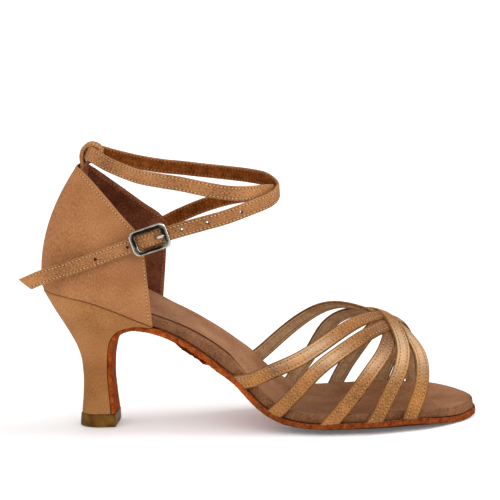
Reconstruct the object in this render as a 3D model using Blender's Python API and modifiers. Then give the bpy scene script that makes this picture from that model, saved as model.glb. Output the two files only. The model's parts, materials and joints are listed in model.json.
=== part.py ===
# A woman's Latin dance sandal, right foot: suede sole, flared heel, closed counter,
# five vamp straps that cross over the toes and one long ankle strap with a buckle.
#
# The shapes are worked out in millimetres in the shoe's own frame: x runs from the back
# of the heel to the toe, y from the outer (buckle) side to the inner side, z up from the
# floor. keep() turns them into metres about the middle of the footprint.

import bpy
import bmesh
import math
from collections import namedtuple
from mathutils import Matrix, Vector

# Driving sizes, in millimetres
LENGTH = 228.8
BALL_WIDTH = 74.5
HEEL_RISE = 74.3
INSTEP = 62.0
OUTSOLE = 3.0
WAIST_SWELL = 1.8
FLAP = 2.1
FLAP_BEND = 4.0
INSOLE = 5.0
SOCK = 1.2
COUNTER_WALL = 2.0
VAMP_STRAP_WIDTH = 8.0
VAMP_STRAP_GAUGE = 1.6
ANKLE_STRAP_WIDTH = 7.2
ANKLE_STRAP_GAUGE = 1.6
TIP_HEIGHT = 7.0
GAP = 0.3

# Forms that follow from how the shoe is made
SEAT_END = 62.5
SEAT_BACK = 77.3
SEAT_FRONT = 58.2
BACK_ROUND = 24.0
TOE_ROUND = 30.0
EDGE_LIFT = 2.4
INSOLE_INSET = 2.3
TOE_INSET = 0.9
SOCK_MARGIN = 0.7
SOCK_WAIST = 3.2
STRAP_INSET = 1.1
DOME_POWER = 2.2
SCALE = 0.001
WELD = 0.00001
BLUNT = 0.12
MIDDLE_OF_FOOTPRINT = (111.46, 0.08, 0.0)

# The last: share of LENGTH, rise as a share of HEEL_RISE, half widths as shares of
# BALL_WIDTH before the ends are rounded off
LastRow = namedtuple("LastRow", "along rise lateral medial")
LAST = (
    LastRow(0.00, 1.000, 0.315, 0.315),
    LastRow(0.05, 0.988, 0.338, 0.338),
    LastRow(0.11, 0.954, 0.356, 0.356),
    LastRow(0.17, 0.890, 0.366, 0.362),
    LastRow(0.23, 0.805, 0.356, 0.342),
    LastRow(0.28, 0.732, 0.336, 0.315),
    LastRow(0.33, 0.657, 0.317, 0.290),
    LastRow(0.37, 0.583, 0.311, 0.279),
    LastRow(0.41, 0.495, 0.319, 0.282),
    LastRow(0.45, 0.386, 0.340, 0.299),
    LastRow(0.48, 0.284, 0.361, 0.322),
    LastRow(0.51, 0.182, 0.385, 0.349),
    LastRow(0.54, 0.106, 0.409, 0.380),
    LastRow(0.58, 0.042, 0.439, 0.420),
    LastRow(0.63, 0.008, 0.472, 0.467),
    LastRow(0.68, 0.000, 0.497, 0.499),
    LastRow(0.76, 0.000, 0.499, 0.501),
    LastRow(0.87, 0.000, 0.423, 0.450),
    LastRow(0.93, 0.004, 0.364, 0.424),
    LastRow(0.97, 0.012, 0.322, 0.408),
    LastRow(1.00, 0.024, 0.295, 0.396),
)

# Height of the last over the insole, as a share of INSTEP
CrownRow = namedtuple("CrownRow", "along crown")
CROWN = (
    CrownRow(0.45, 1.000),
    CrownRow(0.54, 0.968),
    CrownRow(0.58, 0.935),
    CrownRow(0.63, 0.887),
    CrownRow(0.68, 0.845),
    CrownRow(0.72, 0.792),
    CrownRow(0.76, 0.734),
    CrownRow(0.81, 0.656),
    CrownRow(0.87, 0.536),
    CrownRow(0.93, 0.400),
)

# The heel from its tip to the seat: the line of its back, the line of its breast, and
# half its width at the breast
HeelRow = namedtuple("HeelRow", "step back_x back_z breast_x breast_z half")
HEEL = (
    HeelRow(0.0, 16.4, 7.3, 33.4, 7.3, 8.8),
    HeelRow(1.0, 17.8, 17.2, 33.0, 17.0, 7.9),
    HeelRow(2.0, 18.6, 27.2, 32.7, 26.0, 7.6),
    HeelRow(3.0, 18.4, 35.3, 33.1, 34.0, 8.0),
    HeelRow(4.0, 16.7, 43.3, 34.2, 42.0, 9.5),
    HeelRow(5.0, 13.7, 50.3, 36.5, 48.8, 12.0),
    HeelRow(6.0, 10.1, 57.4, 40.4, 53.5, 15.5),
    HeelRow(7.0, 6.5, 64.4, 46.1, 56.9, 19.5),
    HeelRow(8.0, 2.9, 71.8, 53.9, 58.7, 23.0),
    HeelRow(9.0, 0.0, SEAT_BACK, SEAT_END, SEAT_FRONT, 25.0),
)

# The counter's top edge, from the middle of the back to the corner behind the buckle,
# with the wall's outward swell half way up
ToplineRow = namedtuple("ToplineRow", "share x y z swell")
TOPLINE = (
    ToplineRow(0.00, 23.5, 0.0, 142.8, 6.8),
    ToplineRow(0.10, 24.3, 5.0, 142.6, 6.6),
    ToplineRow(0.18, 28.1, 8.2, 139.8, 6.3),
    ToplineRow(0.40, 39.4, 15.0, 128.6, 5.6),
    ToplineRow(0.65, 50.2, 21.8, 117.2, 4.2),
    ToplineRow(0.88, 58.0, 25.8, 108.8, 1.8),
    ToplineRow(1.00, 60.6, 27.0, 103.2, 0.6),
)
MEDIAL_CORNER_SHIFT = Vector((5.3, 0.0, 3.0))
MEDIAL_BASE_SHIFT = 2.2

# The five vamp straps, from the outer side of the sole to the inner side: place along
# the shoe, turn about the dome of the last (-90 and 90 are its feet), and lift over it
StrapRow = namedtuple("StrapRow", "x turn lift")
VAMP_STRAPS = {
    "first": (
        StrapRow(104.5, -106.0, 0.0),
        StrapRow(108.5, -90.0, 0.0),
        StrapRow(124.8, -75.0, 0.0),
        StrapRow(142.2, -60.0, 0.0),
        StrapRow(155.5, -45.8, 0.2),
        StrapRow(167.2, -28.8, 0.7),
        StrapRow(179.0, -7.2, 1.4),
        StrapRow(184.4, 5.0, 1.4),
        StrapRow(190.5, 35.0, 0.9),
        StrapRow(193.6, 62.0, 0.2),
        StrapRow(193.8, 87.0, 0.0),
        StrapRow(194.0, 106.0, 0.0),
    ),
    "second": (
        StrapRow(123.5, -106.0, 0.0),
        StrapRow(126.5, -90.0, 0.0),
        StrapRow(137.2, -80.0, 0.0),
        StrapRow(150.5, -64.8, 0.0),
        StrapRow(160.8, -51.8, 0.2),
        StrapRow(170.5, -36.2, 0.7),
        StrapRow(180.0, -20.5, 1.4),
        StrapRow(185.7, -9.0, 1.5),
        StrapRow(188.5, 20.0, 1.1),
        StrapRow(187.3, 50.0, 0.3),
        StrapRow(185.8, 64.2, 0.0),
        StrapRow(177.0, 88.2, 0.0),
        StrapRow(175.0, 106.0, 0.0),
    ),
    "third": (
        StrapRow(154.0, -106.0, 0.0),
        StrapRow(156.5, -90.0, 0.0),
        StrapRow(167.0, -81.0, 0.0),
        StrapRow(177.2, -63.5, 0.0),
        StrapRow(183.8, -47.0, 0.0),
        StrapRow(186.8, -24.0, 0.0),
        StrapRow(186.0, 0.0, 0.0),
        StrapRow(180.0, 34.0, 0.0),
        StrapRow(166.8, 66.2, 0.0),
        StrapRow(152.8, 89.0, 0.0),
        StrapRow(149.5, 106.0, 0.0),
    ),
    "fourth": (
        StrapRow(178.0, -106.0, 0.0),
        StrapRow(180.0, -90.0, 0.0),
        StrapRow(185.5, -80.8, 0.0),
        StrapRow(191.8, -61.5, 0.2),
        StrapRow(194.0, -41.0, 0.9),
        StrapRow(191.5, -23.0, 1.8),
        StrapRow(186.0, -4.5, 2.4),
        StrapRow(176.0, 15.0, 1.7),
        StrapRow(163.8, 33.0, 0.5),
        StrapRow(150.2, 52.5, 0.0),
        StrapRow(138.8, 75.8, 0.0),
        StrapRow(128.8, 89.0, 0.0),
        StrapRow(126.0, 106.0, 0.0),
    ),
    "fifth": (
        StrapRow(196.5, -106.0, 0.0),
        StrapRow(198.0, -90.0, 0.0),
        StrapRow(202.0, -76.2, 0.0),
        StrapRow(203.5, -52.2, 0.0),
        StrapRow(201.5, -30.0, 0.3),
        StrapRow(196.2, -16.8, 0.6),
        StrapRow(191.8, -5.0, 0.7),
        StrapRow(185.0, 3.0, 0.6),
        StrapRow(178.0, 7.0, 0.5),
        StrapRow(171.8, 10.0, 0.5),
        StrapRow(165.0, 13.5, 0.7),
        StrapRow(157.3, 22.0, 0.4),
        StrapRow(150.0, 33.0, 0.0),
        StrapRow(141.8, 43.8, 0.0),
        StrapRow(128.0, 62.8, 0.0),
        StrapRow(111.0, 89.2, 0.0),
        StrapRow(106.5, 106.0, 0.0),
    ),
}

# The ankle strap's middle line, from its sewn end on the inner quarter, once over the
# instep, through the loop at the back, round the front again and through the buckle
ANKLE_ROUTE = (
    Vector((56.4, 28.6, 100.9)),
    Vector((65.3, 29.0, 104.9)),
    Vector((72.6, 28.4, 108.2)),
    Vector((85.3, 25.6, 113.3)),
    Vector((98.7, 20.6, 117.6)),
    Vector((109.7, 14.4, 120.3)),
    Vector((118.8, 7.2, 122.4)),
    Vector((125.0, 0.0, 124.2)),
    Vector((123.3, -8.0, 126.1)),
    Vector((118.7, -15.0, 126.9)),
    Vector((113.3, -20.0, 127.5)),
    Vector((105.4, -25.0, 129.1)),
    Vector((94.0, -28.0, 132.2)),
    Vector((82.2, -28.7, 135.3)),
    Vector((71.1, -26.8, 137.1)),
    Vector((57.9, -21.8, 139.3)),
    Vector((42.7, -13.0, 144.1)),
    Vector((33.4, -6.0, 148.3)),
    Vector((30.2, 0.0, 148.6)),
    Vector((33.4, 6.0, 148.3)),
    Vector((41.7, 12.0, 144.3)),
    Vector((53.1, 19.0, 139.6)),
    Vector((65.1, 24.8, 136.0)),
    Vector((75.0, 27.4, 134.2)),
    Vector((86.1, 28.0, 132.4)),
    Vector((98.8, 25.2, 131.1)),
    Vector((112.2, 18.2, 130.3)),
    Vector((122.9, 9.8, 129.2)),
    Vector((129.5, 1.5, 125.8)),
    Vector((129.7, -5.0, 123.8)),
    Vector((126.2, -12.5, 121.8)),
    Vector((116.4, -20.6, 119.3)),
    Vector((104.8, -26.4, 116.3)),
    Vector((93.0, -29.4, 113.9)),
    Vector((80.9, -30.9, 111.2)),
    Vector((67.6, -31.2, 107.8)),
    Vector((52.4, -31.2, 103.0)),
    Vector((34.4, -30.9, 97.0)),
    Vector((18.7, -29.6, 92.0)),
    Vector((5.8, -27.8, 88.0)),
    Vector((-4.5, -26.2, 83.8)),
)
ANKLE_STATIONS = 130

# The loop at the back: outer outline and hole in the plane of the shoe's middle
LOOP_WIDTH = 8.0
LOOP_OUTLINE = (
    Vector((23.4, 136.3)),
    Vector((26.4, 140.9)),
    Vector((25.1, 145.6)),
    Vector((25.4, 150.5)),
    Vector((27.8, 153.7)),
    Vector((31.8, 154.7)),
    Vector((35.6, 153.7)),
    Vector((37.8, 150.5)),
    Vector((37.6, 146.9)),
    Vector((35.0, 144.1)),
    Vector((31.8, 142.7)),
    Vector((29.2, 139.9)),
    Vector((25.8, 135.1)),
)
LOOP_HOLE_MIDDLE = Vector((31.5, 148.6))
LOOP_HOLE_HALF = Vector((4.5, 4.4))
LOOP_HOLE_POWER = 3.0

# Buckle, set on the ankle strap
BUCKLE_X = 65.6
BUCKLE_LENGTH = 21.0
BUCKLE_HEIGHT = 13.8
BUCKLE_GAUGE = 2.0
BUCKLE_CORNER = 4.2
BUCKLE_CHAMFER = 0.5
WINDOW_LENGTH = 14.2
WINDOW_HEIGHT = 9.4
WINDOW_CORNER = 1.8
BAR_WIRE = 1.4
BAR_TURN = 0.9
PRONG_WIRE = 1.4
PRONG_OVERHANG = 0.8
PRONG_SLOT = 2.4
STRAP_SLOT = 4.6
STRAP_SLOT_FORWARD = 1.5
TAB_GAUGE = 0.8
TAB_WIDTH = 6.0
TAB_REACH = 11.0

# Finishes: colour, roughness, metallic
Finish = namedtuple("Finish", "colour roughness metallic")
FINISHES = {
    "satin_tan": Finish((0.36, 0.19, 0.085), 0.42, 0.0),
    "suede_rust": Finish((0.27, 0.085, 0.025), 0.95, 0.0),
    "lining_taupe": Finish((0.16, 0.085, 0.05), 0.85, 0.0),
    "tip_plastic": Finish((0.085, 0.055, 0.025), 0.3, 0.0),
    "buckle_nickel": Finish((0.42, 0.4, 0.38), 0.28, 1.0),
}


def clear_scene():
    for item in list(bpy.data.objects):
        bpy.data.objects.remove(item, do_unlink=True)
    for group in list(bpy.data.collections):
        bpy.data.collections.remove(group)


def make_collection(name):
    group = bpy.data.collections.new(name)
    bpy.context.scene.collection.children.link(group)
    return group


def make_material(name):
    finish = FINISHES[name]
    material = bpy.data.materials.new(name)
    material.use_nodes = True
    shader = material.node_tree.nodes["Principled BSDF"]
    shader.inputs["Base Color"].default_value = (*finish.colour, 1.0)
    shader.inputs["Roughness"].default_value = finish.roughness
    shader.inputs["Metallic"].default_value = finish.metallic
    return material


def to_metres(point):
    return (Vector(point) - Vector(MIDDLE_OF_FOOTPRINT)) * SCALE


def keep(name, bm, group):
    """Turns a mesh in millimetres into an object of the shoe, in metres."""
    for vert in bm.verts:
        vert.co = to_metres(vert.co)
    mesh = bpy.data.meshes.new(name)
    bm.to_mesh(mesh)
    bm.free()
    item = bpy.data.objects.new(name, mesh)
    group.objects.link(item)
    return item


def dress(item, material, sharp_degrees=35.0):
    item.data.materials.append(material)
    if item.type == "MESH":
        item.data.shade_smooth()
        item.data.set_sharp_from_angle(angle=math.radians(sharp_degrees))
    return item


def read(rows, column, at):
    """Smooth value of a table's column: a monotone cubic over its first column."""
    xs = [row[0] for row in rows]
    ys = [getattr(row, column) for row in rows]
    at = min(max(at, xs[0]), xs[-1])
    rates = [(b - a) / (d - c) for a, b, c, d in zip(ys, ys[1:], xs, xs[1:])]
    slopes = [rates[0]]
    for before, after in zip(rates, rates[1:]):
        slopes.append(0.0 if before * after <= 0 else 2.0 * before * after / (before + after))
    slopes.append(rates[-1])
    index = max(i for i in range(len(xs) - 1) if xs[i] <= at)
    span = xs[index + 1] - xs[index]
    t = (at - xs[index]) / span
    start = ys[index] * (1 + 2 * t) * (1 - t) ** 2 + slopes[index] * span * t * (1 - t) ** 2
    end = ys[index + 1] * t * t * (3 - 2 * t) + slopes[index + 1] * span * t * t * (t - 1)
    return start + end


def ease(low, high, at):
    t = min(max((at - low) / (high - low), 0.0), 1.0)
    return t * t * (3 - 2 * t)


def route_points(points, count):
    """Evenly spaced points and directions on a smooth curve through the given points."""
    fine = []
    for i in range(len(points) - 1):
        before = points[max(i - 1, 0)]
        start, end = points[i], points[i + 1]
        after = points[min(i + 2, len(points) - 1)]
        steps = 12
        for k in range(steps):
            t = k / steps
            fine.append(0.5 * (2 * start + (end - before) * t
                               + (2 * before - 5 * start + 4 * end - after) * t ** 2
                               + (3 * start - before - 3 * end + after) * t ** 3))
    fine.append(points[-1].copy())
    lengths = [0.0]
    for a, b in zip(fine, fine[1:]):
        lengths.append(lengths[-1] + (b - a).length)
    out = []
    index = 0
    for k in range(count + 1):
        want = lengths[-1] * k / count
        while index < len(fine) - 2 and lengths[index + 1] < want:
            index += 1
        span = lengths[index + 1] - lengths[index]
        out.append(fine[index].lerp(fine[index + 1], (want - lengths[index]) / span))
    tangents = []
    for i in range(count + 1):
        ahead = out[min(i + 1, count)]
        behind = out[max(i - 1, 0)]
        tangents.append((ahead - behind).normalized())
    return out, tangents


def full_half(x, side):
    column = "lateral" if side < 0 else "medial"
    return read(LAST, column, x / LENGTH) * BALL_WIDTH


def end_round(x, length=LENGTH):
    """One along the sides, falling to nothing as an ellipse at the back and the toe."""
    if x < BACK_ROUND:
        return math.sqrt(max(0.0, 1 - (1 - x / BACK_ROUND) ** 2))
    if x > length - TOE_ROUND:
        return math.sqrt(max(0.0, 1 - (1 - (length - x) / TOE_ROUND) ** 2))
    return 1.0


def half_width(x, side, inset=0.0):
    """Distance of the sole's edge from the middle line, drawn in by inset all round."""
    stretched = (x - inset) * LENGTH / (LENGTH - 2 * inset)
    stretched = min(max(stretched, 0.0), LENGTH)
    return (full_half(stretched, side) - inset) * end_round(stretched)


def feather(x):
    """Height of the line where upper and insole meet the outsole or the heel."""
    return OUTSOLE + read(LAST, "rise", x / LENGTH) * HEEL_RISE


def edge_lift(x, y):
    """The forepart's bottom is flat in the middle and rolls up to its edges."""
    half = max(full_half(min(max(x, 0.0), LENGTH), y), 1.0)
    out = max(0.0, (abs(y) / half - 0.5) / 0.5)
    return EDGE_LIFT * out * out * ease(112.0, 145.0, x)


def slope_normal(x):
    step = 0.5
    rise = (feather(x + step) - feather(x - step)) / (2 * step)
    return Vector((-rise, 0.0, 1.0)).normalized()


def over_sole(x, y, height):
    """A point at the given height over the feather line, square to its slope."""
    base = Vector((x, y, feather(x) + edge_lift(x, y)))
    return base + slope_normal(x) * height


def spaced(start, end, count):
    """Stations that crowd towards both ends, as round ends need."""
    shares = [0.5 * (1 - math.cos(math.pi * k / count)) for k in range(count + 1)]
    return [start + (end - start) * share for share in shares]


def slab(rows, across, gauge):
    """A closed slab under or over a grid: rows are point functions of the share across."""
    bm = bmesh.new()
    bmesh.ops.create_grid(bm, x_segments=len(across) - 1, y_segments=len(rows) - 1, size=1.0)
    bm.verts.ensure_lookup_table()
    places = {}
    for vert in bm.verts:
        column = round((vert.co.x + 1) / 2 * (len(across) - 1))
        row = round((vert.co.y + 1) / 2 * (len(rows) - 1))
        places[vert] = (row, column)
    for vert, (row, column) in places.items():
        vert.co = rows[row](across[column])
    lifted = bmesh.ops.extrude_face_region(bm, geom=list(bm.faces), use_keep_orig=True)
    new_verts = [item for item in lifted["geom"] if isinstance(item, bmesh.types.BMVert)]
    row_of = {tuple(vert.co): place for vert, place in places.items()}
    for vert in new_verts:
        row, column = row_of[tuple(vert.co)]
        vert.co += gauge(row, column)
    bmesh.ops.recalc_face_normals(bm, faces=bm.faces)
    return bm


ACROSS = (-1.0, -0.76, -0.5, 0.5, 0.76, 1.0)


def side_y(x, share, inset):
    return share * half_width(x, share, inset)


def sole_layer(name, group, low, thickness, inset_at, start, end, stations):
    """A layer of the bottom that lies low over the feather line."""
    xs = spaced(start, end, stations)
    rows = []
    for x in xs:
        rows.append(lambda share, x=x: over_sole(x, side_y(x, share, inset_at(x)), low))
    bm = slab(rows, ACROSS, lambda row, column: slope_normal(xs[row]) * thickness)
    return keep(name, bm, group)


def breast_point(step):
    row = Vector((read(HEEL, "breast_x", step), 0.0, read(HEEL, "breast_z", step)))
    return row, read(HEEL, "half", step)


def breast_normal(step):
    """Out of the heel's breast, towards the toe and the floor."""
    before = breast_point(max(step - 0.05, 0.0))[0]
    after = breast_point(min(step + 0.05, 9.0))[0]
    along = after - before
    return Vector((along.z, 0.0, -along.x)).normalized()


def make_outsole(group):
    """Suede sole: flat forepart, swelling waist, and a flap that runs down the heel's breast."""
    stations = 44
    flap_steps = [9.0 - 0.5 * k for k in range(1, 19)]
    start = SEAT_END + FLAP_BEND
    reach = LENGTH - BLUNT - start
    xs = [start + reach * math.sin(0.5 * math.pi * k / stations) for k in range(stations, -1, -1)]
    rows = []
    for x in xs:
        rows.append(lambda share, x=x: over_sole(x, side_y(x, share, 0.0), 0.0))
    for step in flap_steps:
        middle, half = breast_point(step)
        middle = middle + breast_normal(step) * GAP
        rows.append(lambda share, m=middle, h=half: m + Vector((0.0, share * h, 0.0)))

    def gauge(row, column):
        if row <= stations:
            x = xs[row]
            swell = WAIST_SWELL * ease(66.0, 82.0, x) * (1 - ease(94.0, 130.0, x))
            return slope_normal(x) * -(OUTSOLE + swell)
        step = flap_steps[row - stations - 1]
        return breast_normal(step) * (OUTSOLE + (FLAP - OUTSOLE) * ease(9.0, 7.0, step))

    bm = slab(rows, ACROSS, gauge)
    return keep("outsole", bm, group)


def insole_inset(x):
    """The insole stands back from the sole's rim, least of all at the toe."""
    return INSOLE_INSET + (TOE_INSET - INSOLE_INSET) * ease(195.0, 222.0, x)


def make_insole(group):
    return sole_layer("insole", group, GAP, INSOLE, insole_inset,
                      INSOLE_INSET + BLUNT, LENGTH - TOE_INSET - BLUNT, 42)


def sock_inset(x):
    """The sock is drawn in along the waist and reaches the edge under the straps."""
    waist = ease(40.0, 66.0, x) * (1 - ease(92.0, 110.0, x))
    return insole_inset(x) + SOCK_MARGIN + SOCK_WAIST * waist


def make_sock(group):
    back = INSOLE_INSET + SOCK_MARGIN + BLUNT
    toe = LENGTH - TOE_INSET - SOCK_MARGIN - BLUNT
    return sole_layer("sock", group, GAP + INSOLE + GAP, SOCK, sock_inset, back, toe, 38)


def d_share(share, roundness):
    """Half width of a heel section from its back (0) to its breast (1)."""
    if share >= roundness:
        return 1.0
    return math.sqrt(max(0.0, 1 - (1 - share / roundness) ** 2))


SECTION_SHARES = [0.5 * (1 - math.cos(math.pi * k / 20)) for k in range(21)]
SECTION_SHARES = [share for share in SECTION_SHARES if share <= 0.5] + [0.6, 0.7, 0.8, 0.9, 1.0]
HEEL_ROUND = 0.62


def loft(sections):
    """Skin through sections that each run from the back to the breast, on both sides."""
    bm = bmesh.new()
    rings = []
    for lateral, medial in sections:
        first = [bm.verts.new(point) for point in lateral]
        second = [first[0]] + [bm.verts.new(point) for point in medial[1:]]
        rings.append((first, second))
    for (low_a, low_b), (high_a, high_b) in zip(rings, rings[1:]):
        for low, high in ((low_a, high_a), (low_b, high_b)):
            for k in range(len(low) - 1):
                bm.faces.new((low[k], low[k + 1], high[k + 1], high[k]))
        bm.faces.new((low_a[-1], low_b[-1], high_b[-1], high_a[-1]))
    for first, second in (rings[0], rings[-1]):
        bm.faces.new((first[0], first[1], second[1]))
        for k in range(1, len(first) - 1):
            bm.faces.new((first[k], first[k + 1], second[k + 1], second[k]))
    bmesh.ops.recalc_face_normals(bm, faces=bm.faces)
    return bm


def heel_section(step):
    back = Vector((read(HEEL, "back_x", step), 0.0, read(HEEL, "back_z", step)))
    breast, half = breast_point(step)
    to_seat = ease(6.0, 9.0, step)
    sides = []
    for side in (-1.0, 1.0):
        points = []
        for share in SECTION_SHARES:
            point = back.lerp(breast, share)
            neck_y = half * d_share(share, HEEL_ROUND)
            seat_x = SEAT_END * share
            seat_y = half_width(seat_x, side)
            point.z += to_seat * (feather(seat_x) - (SEAT_BACK + (SEAT_FRONT - SEAT_BACK) * share))
            point.y = side * (neck_y + (seat_y - neck_y) * to_seat)
            points.append(point)
        sides.append(points)
    return sides


def make_heel(group):
    steps = [0.5 * k for k in range(0, 19)]
    return keep("heel", loft([heel_section(step) for step in steps]), group)


# The heel tip: height, back, front and half width of each of its levels
TipRow = namedtuple("TipRow", "z back front half")
TIP = (
    TipRow(0.0, 15.6, 35.5, 9.0),
    TipRow(0.5, 15.2, 35.8, 9.3),
    TipRow(TIP_HEIGHT, 16.0, 36.0, 9.0),
)


def make_heel_tip(group):
    sections = []
    for row in TIP:
        sides = []
        for side in (-1.0, 1.0):
            points = []
            for share in SECTION_SHARES:
                x = row.back + (row.front - row.back) * share
                points.append(Vector((x, side * row.half * d_share(share, HEEL_ROUND), row.z)))
            sides.append(points)
        sections.append(sides)
    return keep("heel_tip", loft(sections), group)


def seat_outline():
    """Points of the seat's edge from the middle of the back to its front, with arc shares."""
    xs = [SEAT_END * (k / 200) ** 2 for k in range(201)]
    points = [Vector((x, half_width(x, -1.0), 0.0)) for x in xs]
    lengths = [0.0]
    for a, b in zip(points, points[1:]):
        lengths.append(lengths[-1] + (b - a).length)
    return points, [length / lengths[-1] for length in lengths]


def counter_point(share, height, outline):
    """The counter's outer face: share runs from -1 (outer front edge) over the back to 1."""
    side = -1.0 if share < 0 else 1.0
    reach = abs(share)
    points, shares = outline
    index = min(range(len(shares)), key=lambda k: abs(shares[k] - reach))
    x = points[index].x
    if side > 0:
        x -= MEDIAL_BASE_SHIFT * reach * reach
    base = Vector((x, side * half_width(x, side), feather(x) + GAP))
    top = Vector((read(TOPLINE, "x", reach), side * read(TOPLINE, "y", reach), read(TOPLINE, "z", reach)))
    if side > 0:
        top += MEDIAL_CORNER_SHIFT * reach * reach
    if index == 0:
        out = Vector((-1.0, 0.0, 0.0))
    else:
        along = points[min(index + 1, len(points) - 1)] - points[index - 1]
        out = Vector((-along.y, side * along.x, 0.0)).normalized()
    swell = read(TOPLINE, "swell", reach) * 4.0 * height * (1 - height)
    return base.lerp(top, height) + out * swell


COUNTER_COLUMNS = [-1 + 2 * k / 36 for k in range(37)]
COUNTER_ROWS = 8


def make_counter(group):
    outline = seat_outline()
    bm = bmesh.new()
    columns = len(COUNTER_COLUMNS) - 1
    bmesh.ops.create_grid(bm, x_segments=columns, y_segments=COUNTER_ROWS, size=1.0)
    for vert in bm.verts:
        share = COUNTER_COLUMNS[round((vert.co.x + 1) / 2 * columns)]
        height = (vert.co.y + 1) / 2
        vert.co = counter_point(share, height, outline)
    bmesh.ops.reverse_faces(bm, faces=bm.faces)
    item = keep("counter", bm, group)
    wall = item.modifiers.new("wall", "SOLIDIFY")
    wall.thickness = COUNTER_WALL * SCALE
    wall.offset = -1.0
    wall.use_even_offset = True
    return item


def dome_point(x, turn, lift):
    """A point on the last over the forepart; past 90 degrees it runs down beside the insole."""
    side = -1.0 if turn < 0 else 1.0
    half = half_width(x, side) - STRAP_INSET
    foot = feather(x) + edge_lift(x, side * half) + GAP + INSOLE
    if abs(turn) > 90.0:
        drop = (abs(turn) - 90.0) / 10.0 * (GAP + INSOLE)
        return Vector((x, side * (half + lift), foot - drop))
    crown = read(CROWN, "crown", x / LENGTH) * INSTEP
    angle = math.radians(abs(turn))
    power = 2.0 / DOME_POWER
    out = math.sin(angle) ** power
    up = math.cos(angle) ** power
    y = half * out + lift * math.sin(angle)
    z = foot + crown * up + lift * math.cos(angle)
    return Vector((x, side * y, z))


def dome_normal(x, turn):
    turn = min(max(turn, -89.0), 89.0)
    along = dome_point(x + 0.5, turn, 0.0) - dome_point(x - 0.5, turn, 0.0)
    around = dome_point(x, turn + 1.0, 0.0) - dome_point(x, turn - 1.0, 0.0)
    normal = along.cross(around).normalized()
    return normal if normal.dot(Vector((0.0, dome_point(x, turn, 0.0).y, 30.0))) > 0 else -normal


def ribbon(name, centres, normals, tangents, width, gauge, group):
    """A flat strap along its middle line, with its face towards the normals."""
    bm = bmesh.new()
    bmesh.ops.create_grid(bm, x_segments=1, y_segments=len(centres) - 1, size=1.0)
    for vert in bm.verts:
        row = round((vert.co.y + 1) / 2 * (len(centres) - 1))
        share = vert.co.x
        across = tangents[row].cross(normals[row]).normalized()
        vert.co = centres[row] + across * (share * width / 2)
    item = keep(name, bm, group)
    wall = item.modifiers.new("wall", "SOLIDIFY")
    wall.thickness = gauge * SCALE
    wall.offset = 0.0
    item.modifiers.new("facets", "TRIANGULATE")
    return item


def vamp_ribbon(name, rows, group):
    places = [Vector((row.x, row.turn, row.lift)) for row in rows]
    fine = route_points(places, 36)[0]
    centres = [dome_point(p.x, p.y, p.z) for p in fine]
    normals = [dome_normal(p.x, p.y) for p in fine]
    tangents = []
    for i in range(len(centres)):
        ahead = centres[min(i + 1, len(centres) - 1)]
        behind = centres[max(i - 1, 0)]
        tangents.append((ahead - behind).normalized())
    return ribbon(name, centres, normals, tangents, VAMP_STRAP_WIDTH, VAMP_STRAP_GAUGE, group)


def below_feather(group):
    """Cutter: everything below the outsole's upper edge along the forepart."""
    xs = [95.0 + 2.5 * k for k in range(48)]
    depth = 30.0
    reach = 60.0
    rows = []
    for x in xs:
        rows.append(lambda share, x=x: Vector((
            x, share * reach, feather(x) + edge_lift(x, share * full_half(x, share)) + GAP)))
    bm = slab(rows, (-1.0, 1.0), lambda row, column: Vector((0.0, 0.0, -depth)))
    bmesh.ops.triangulate(bm, faces=bm.faces)
    item = keep("cut_below_feather", bm, group)
    hide_tool(item)
    return item


def shells(bm):
    """The mesh's separate shells, as lists of vertices."""
    waiting = set(bm.verts)
    found = []
    while waiting:
        shell = [waiting.pop()]
        for vert in shell:
            near = {edge.other_vert(vert) for edge in vert.link_edges} & waiting
            waiting -= near
            shell.extend(near)
        found.append(shell)
    return found


def evaluated_copy(item, name, group):
    """The object as its modifiers leave it, as a plain mesh with any small pockets filled."""
    graph = bpy.context.evaluated_depsgraph_get()
    mesh = bpy.data.meshes.new_from_object(item.evaluated_get(graph))
    place = item.matrix_world.copy()
    bpy.data.objects.remove(item, do_unlink=True)
    bm = bmesh.new()
    bm.from_mesh(mesh)
    bmesh.ops.remove_doubles(bm, verts=bm.verts, dist=WELD)
    for pocket in sorted(shells(bm), key=len)[:-1]:
        bmesh.ops.delete(bm, geom=pocket, context="VERTS")
    bmesh.ops.recalc_face_normals(bm, faces=bm.faces)
    bm.to_mesh(mesh)
    bm.free()
    copy = bpy.data.objects.new(name, mesh)
    copy.matrix_world = place
    group.objects.link(copy)
    return copy


def hide_tool(item):
    item.hide_render = True
    item.display_type = "WIRE"


def boolean(item, tool, operation):
    step = item.modifiers.new(operation.lower(), "BOOLEAN")
    step.operation = operation
    step.solver = "EXACT"
    step.object = tool


def make_vamp_straps(group, cutters):
    """The five straps as one solid, joined where they cross and cut off on the sole's rim."""
    pieces = [vamp_ribbon("strap_" + name, rows, cutters) for name, rows in VAMP_STRAPS.items()]
    for piece in pieces[1:]:
        boolean(pieces[0], piece, "UNION")
        hide_tool(piece)
    boolean(pieces[0], below_feather(cutters), "DIFFERENCE")
    return evaluated_copy(pieces[0], "vamp_straps", group)


def make_ankle_strap(group, cutters):
    """The strap stands upright on its edge, facing out from the ankle."""
    centres, tangents = route_points(list(ANKLE_ROUTE), ANKLE_STATIONS)
    up = Vector((0.0, 0.0, 1.0))
    normals = [tangent.cross(up).normalized() for tangent in tangents]
    strap = ribbon("ankle_strap", centres, normals, tangents, ANKLE_STRAP_WIDTH, ANKLE_STRAP_GAUGE, group)
    size = (STRAP_SLOT, PRONG_SLOT, 4 * ANKLE_STRAP_GAUGE)
    hole = block("cut_prong_hole", (STRAP_SLOT_FORWARD, 0.0, 0.0), size, cutters)
    boolean(strap, hole, "DIFFERENCE")
    return strap


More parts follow.
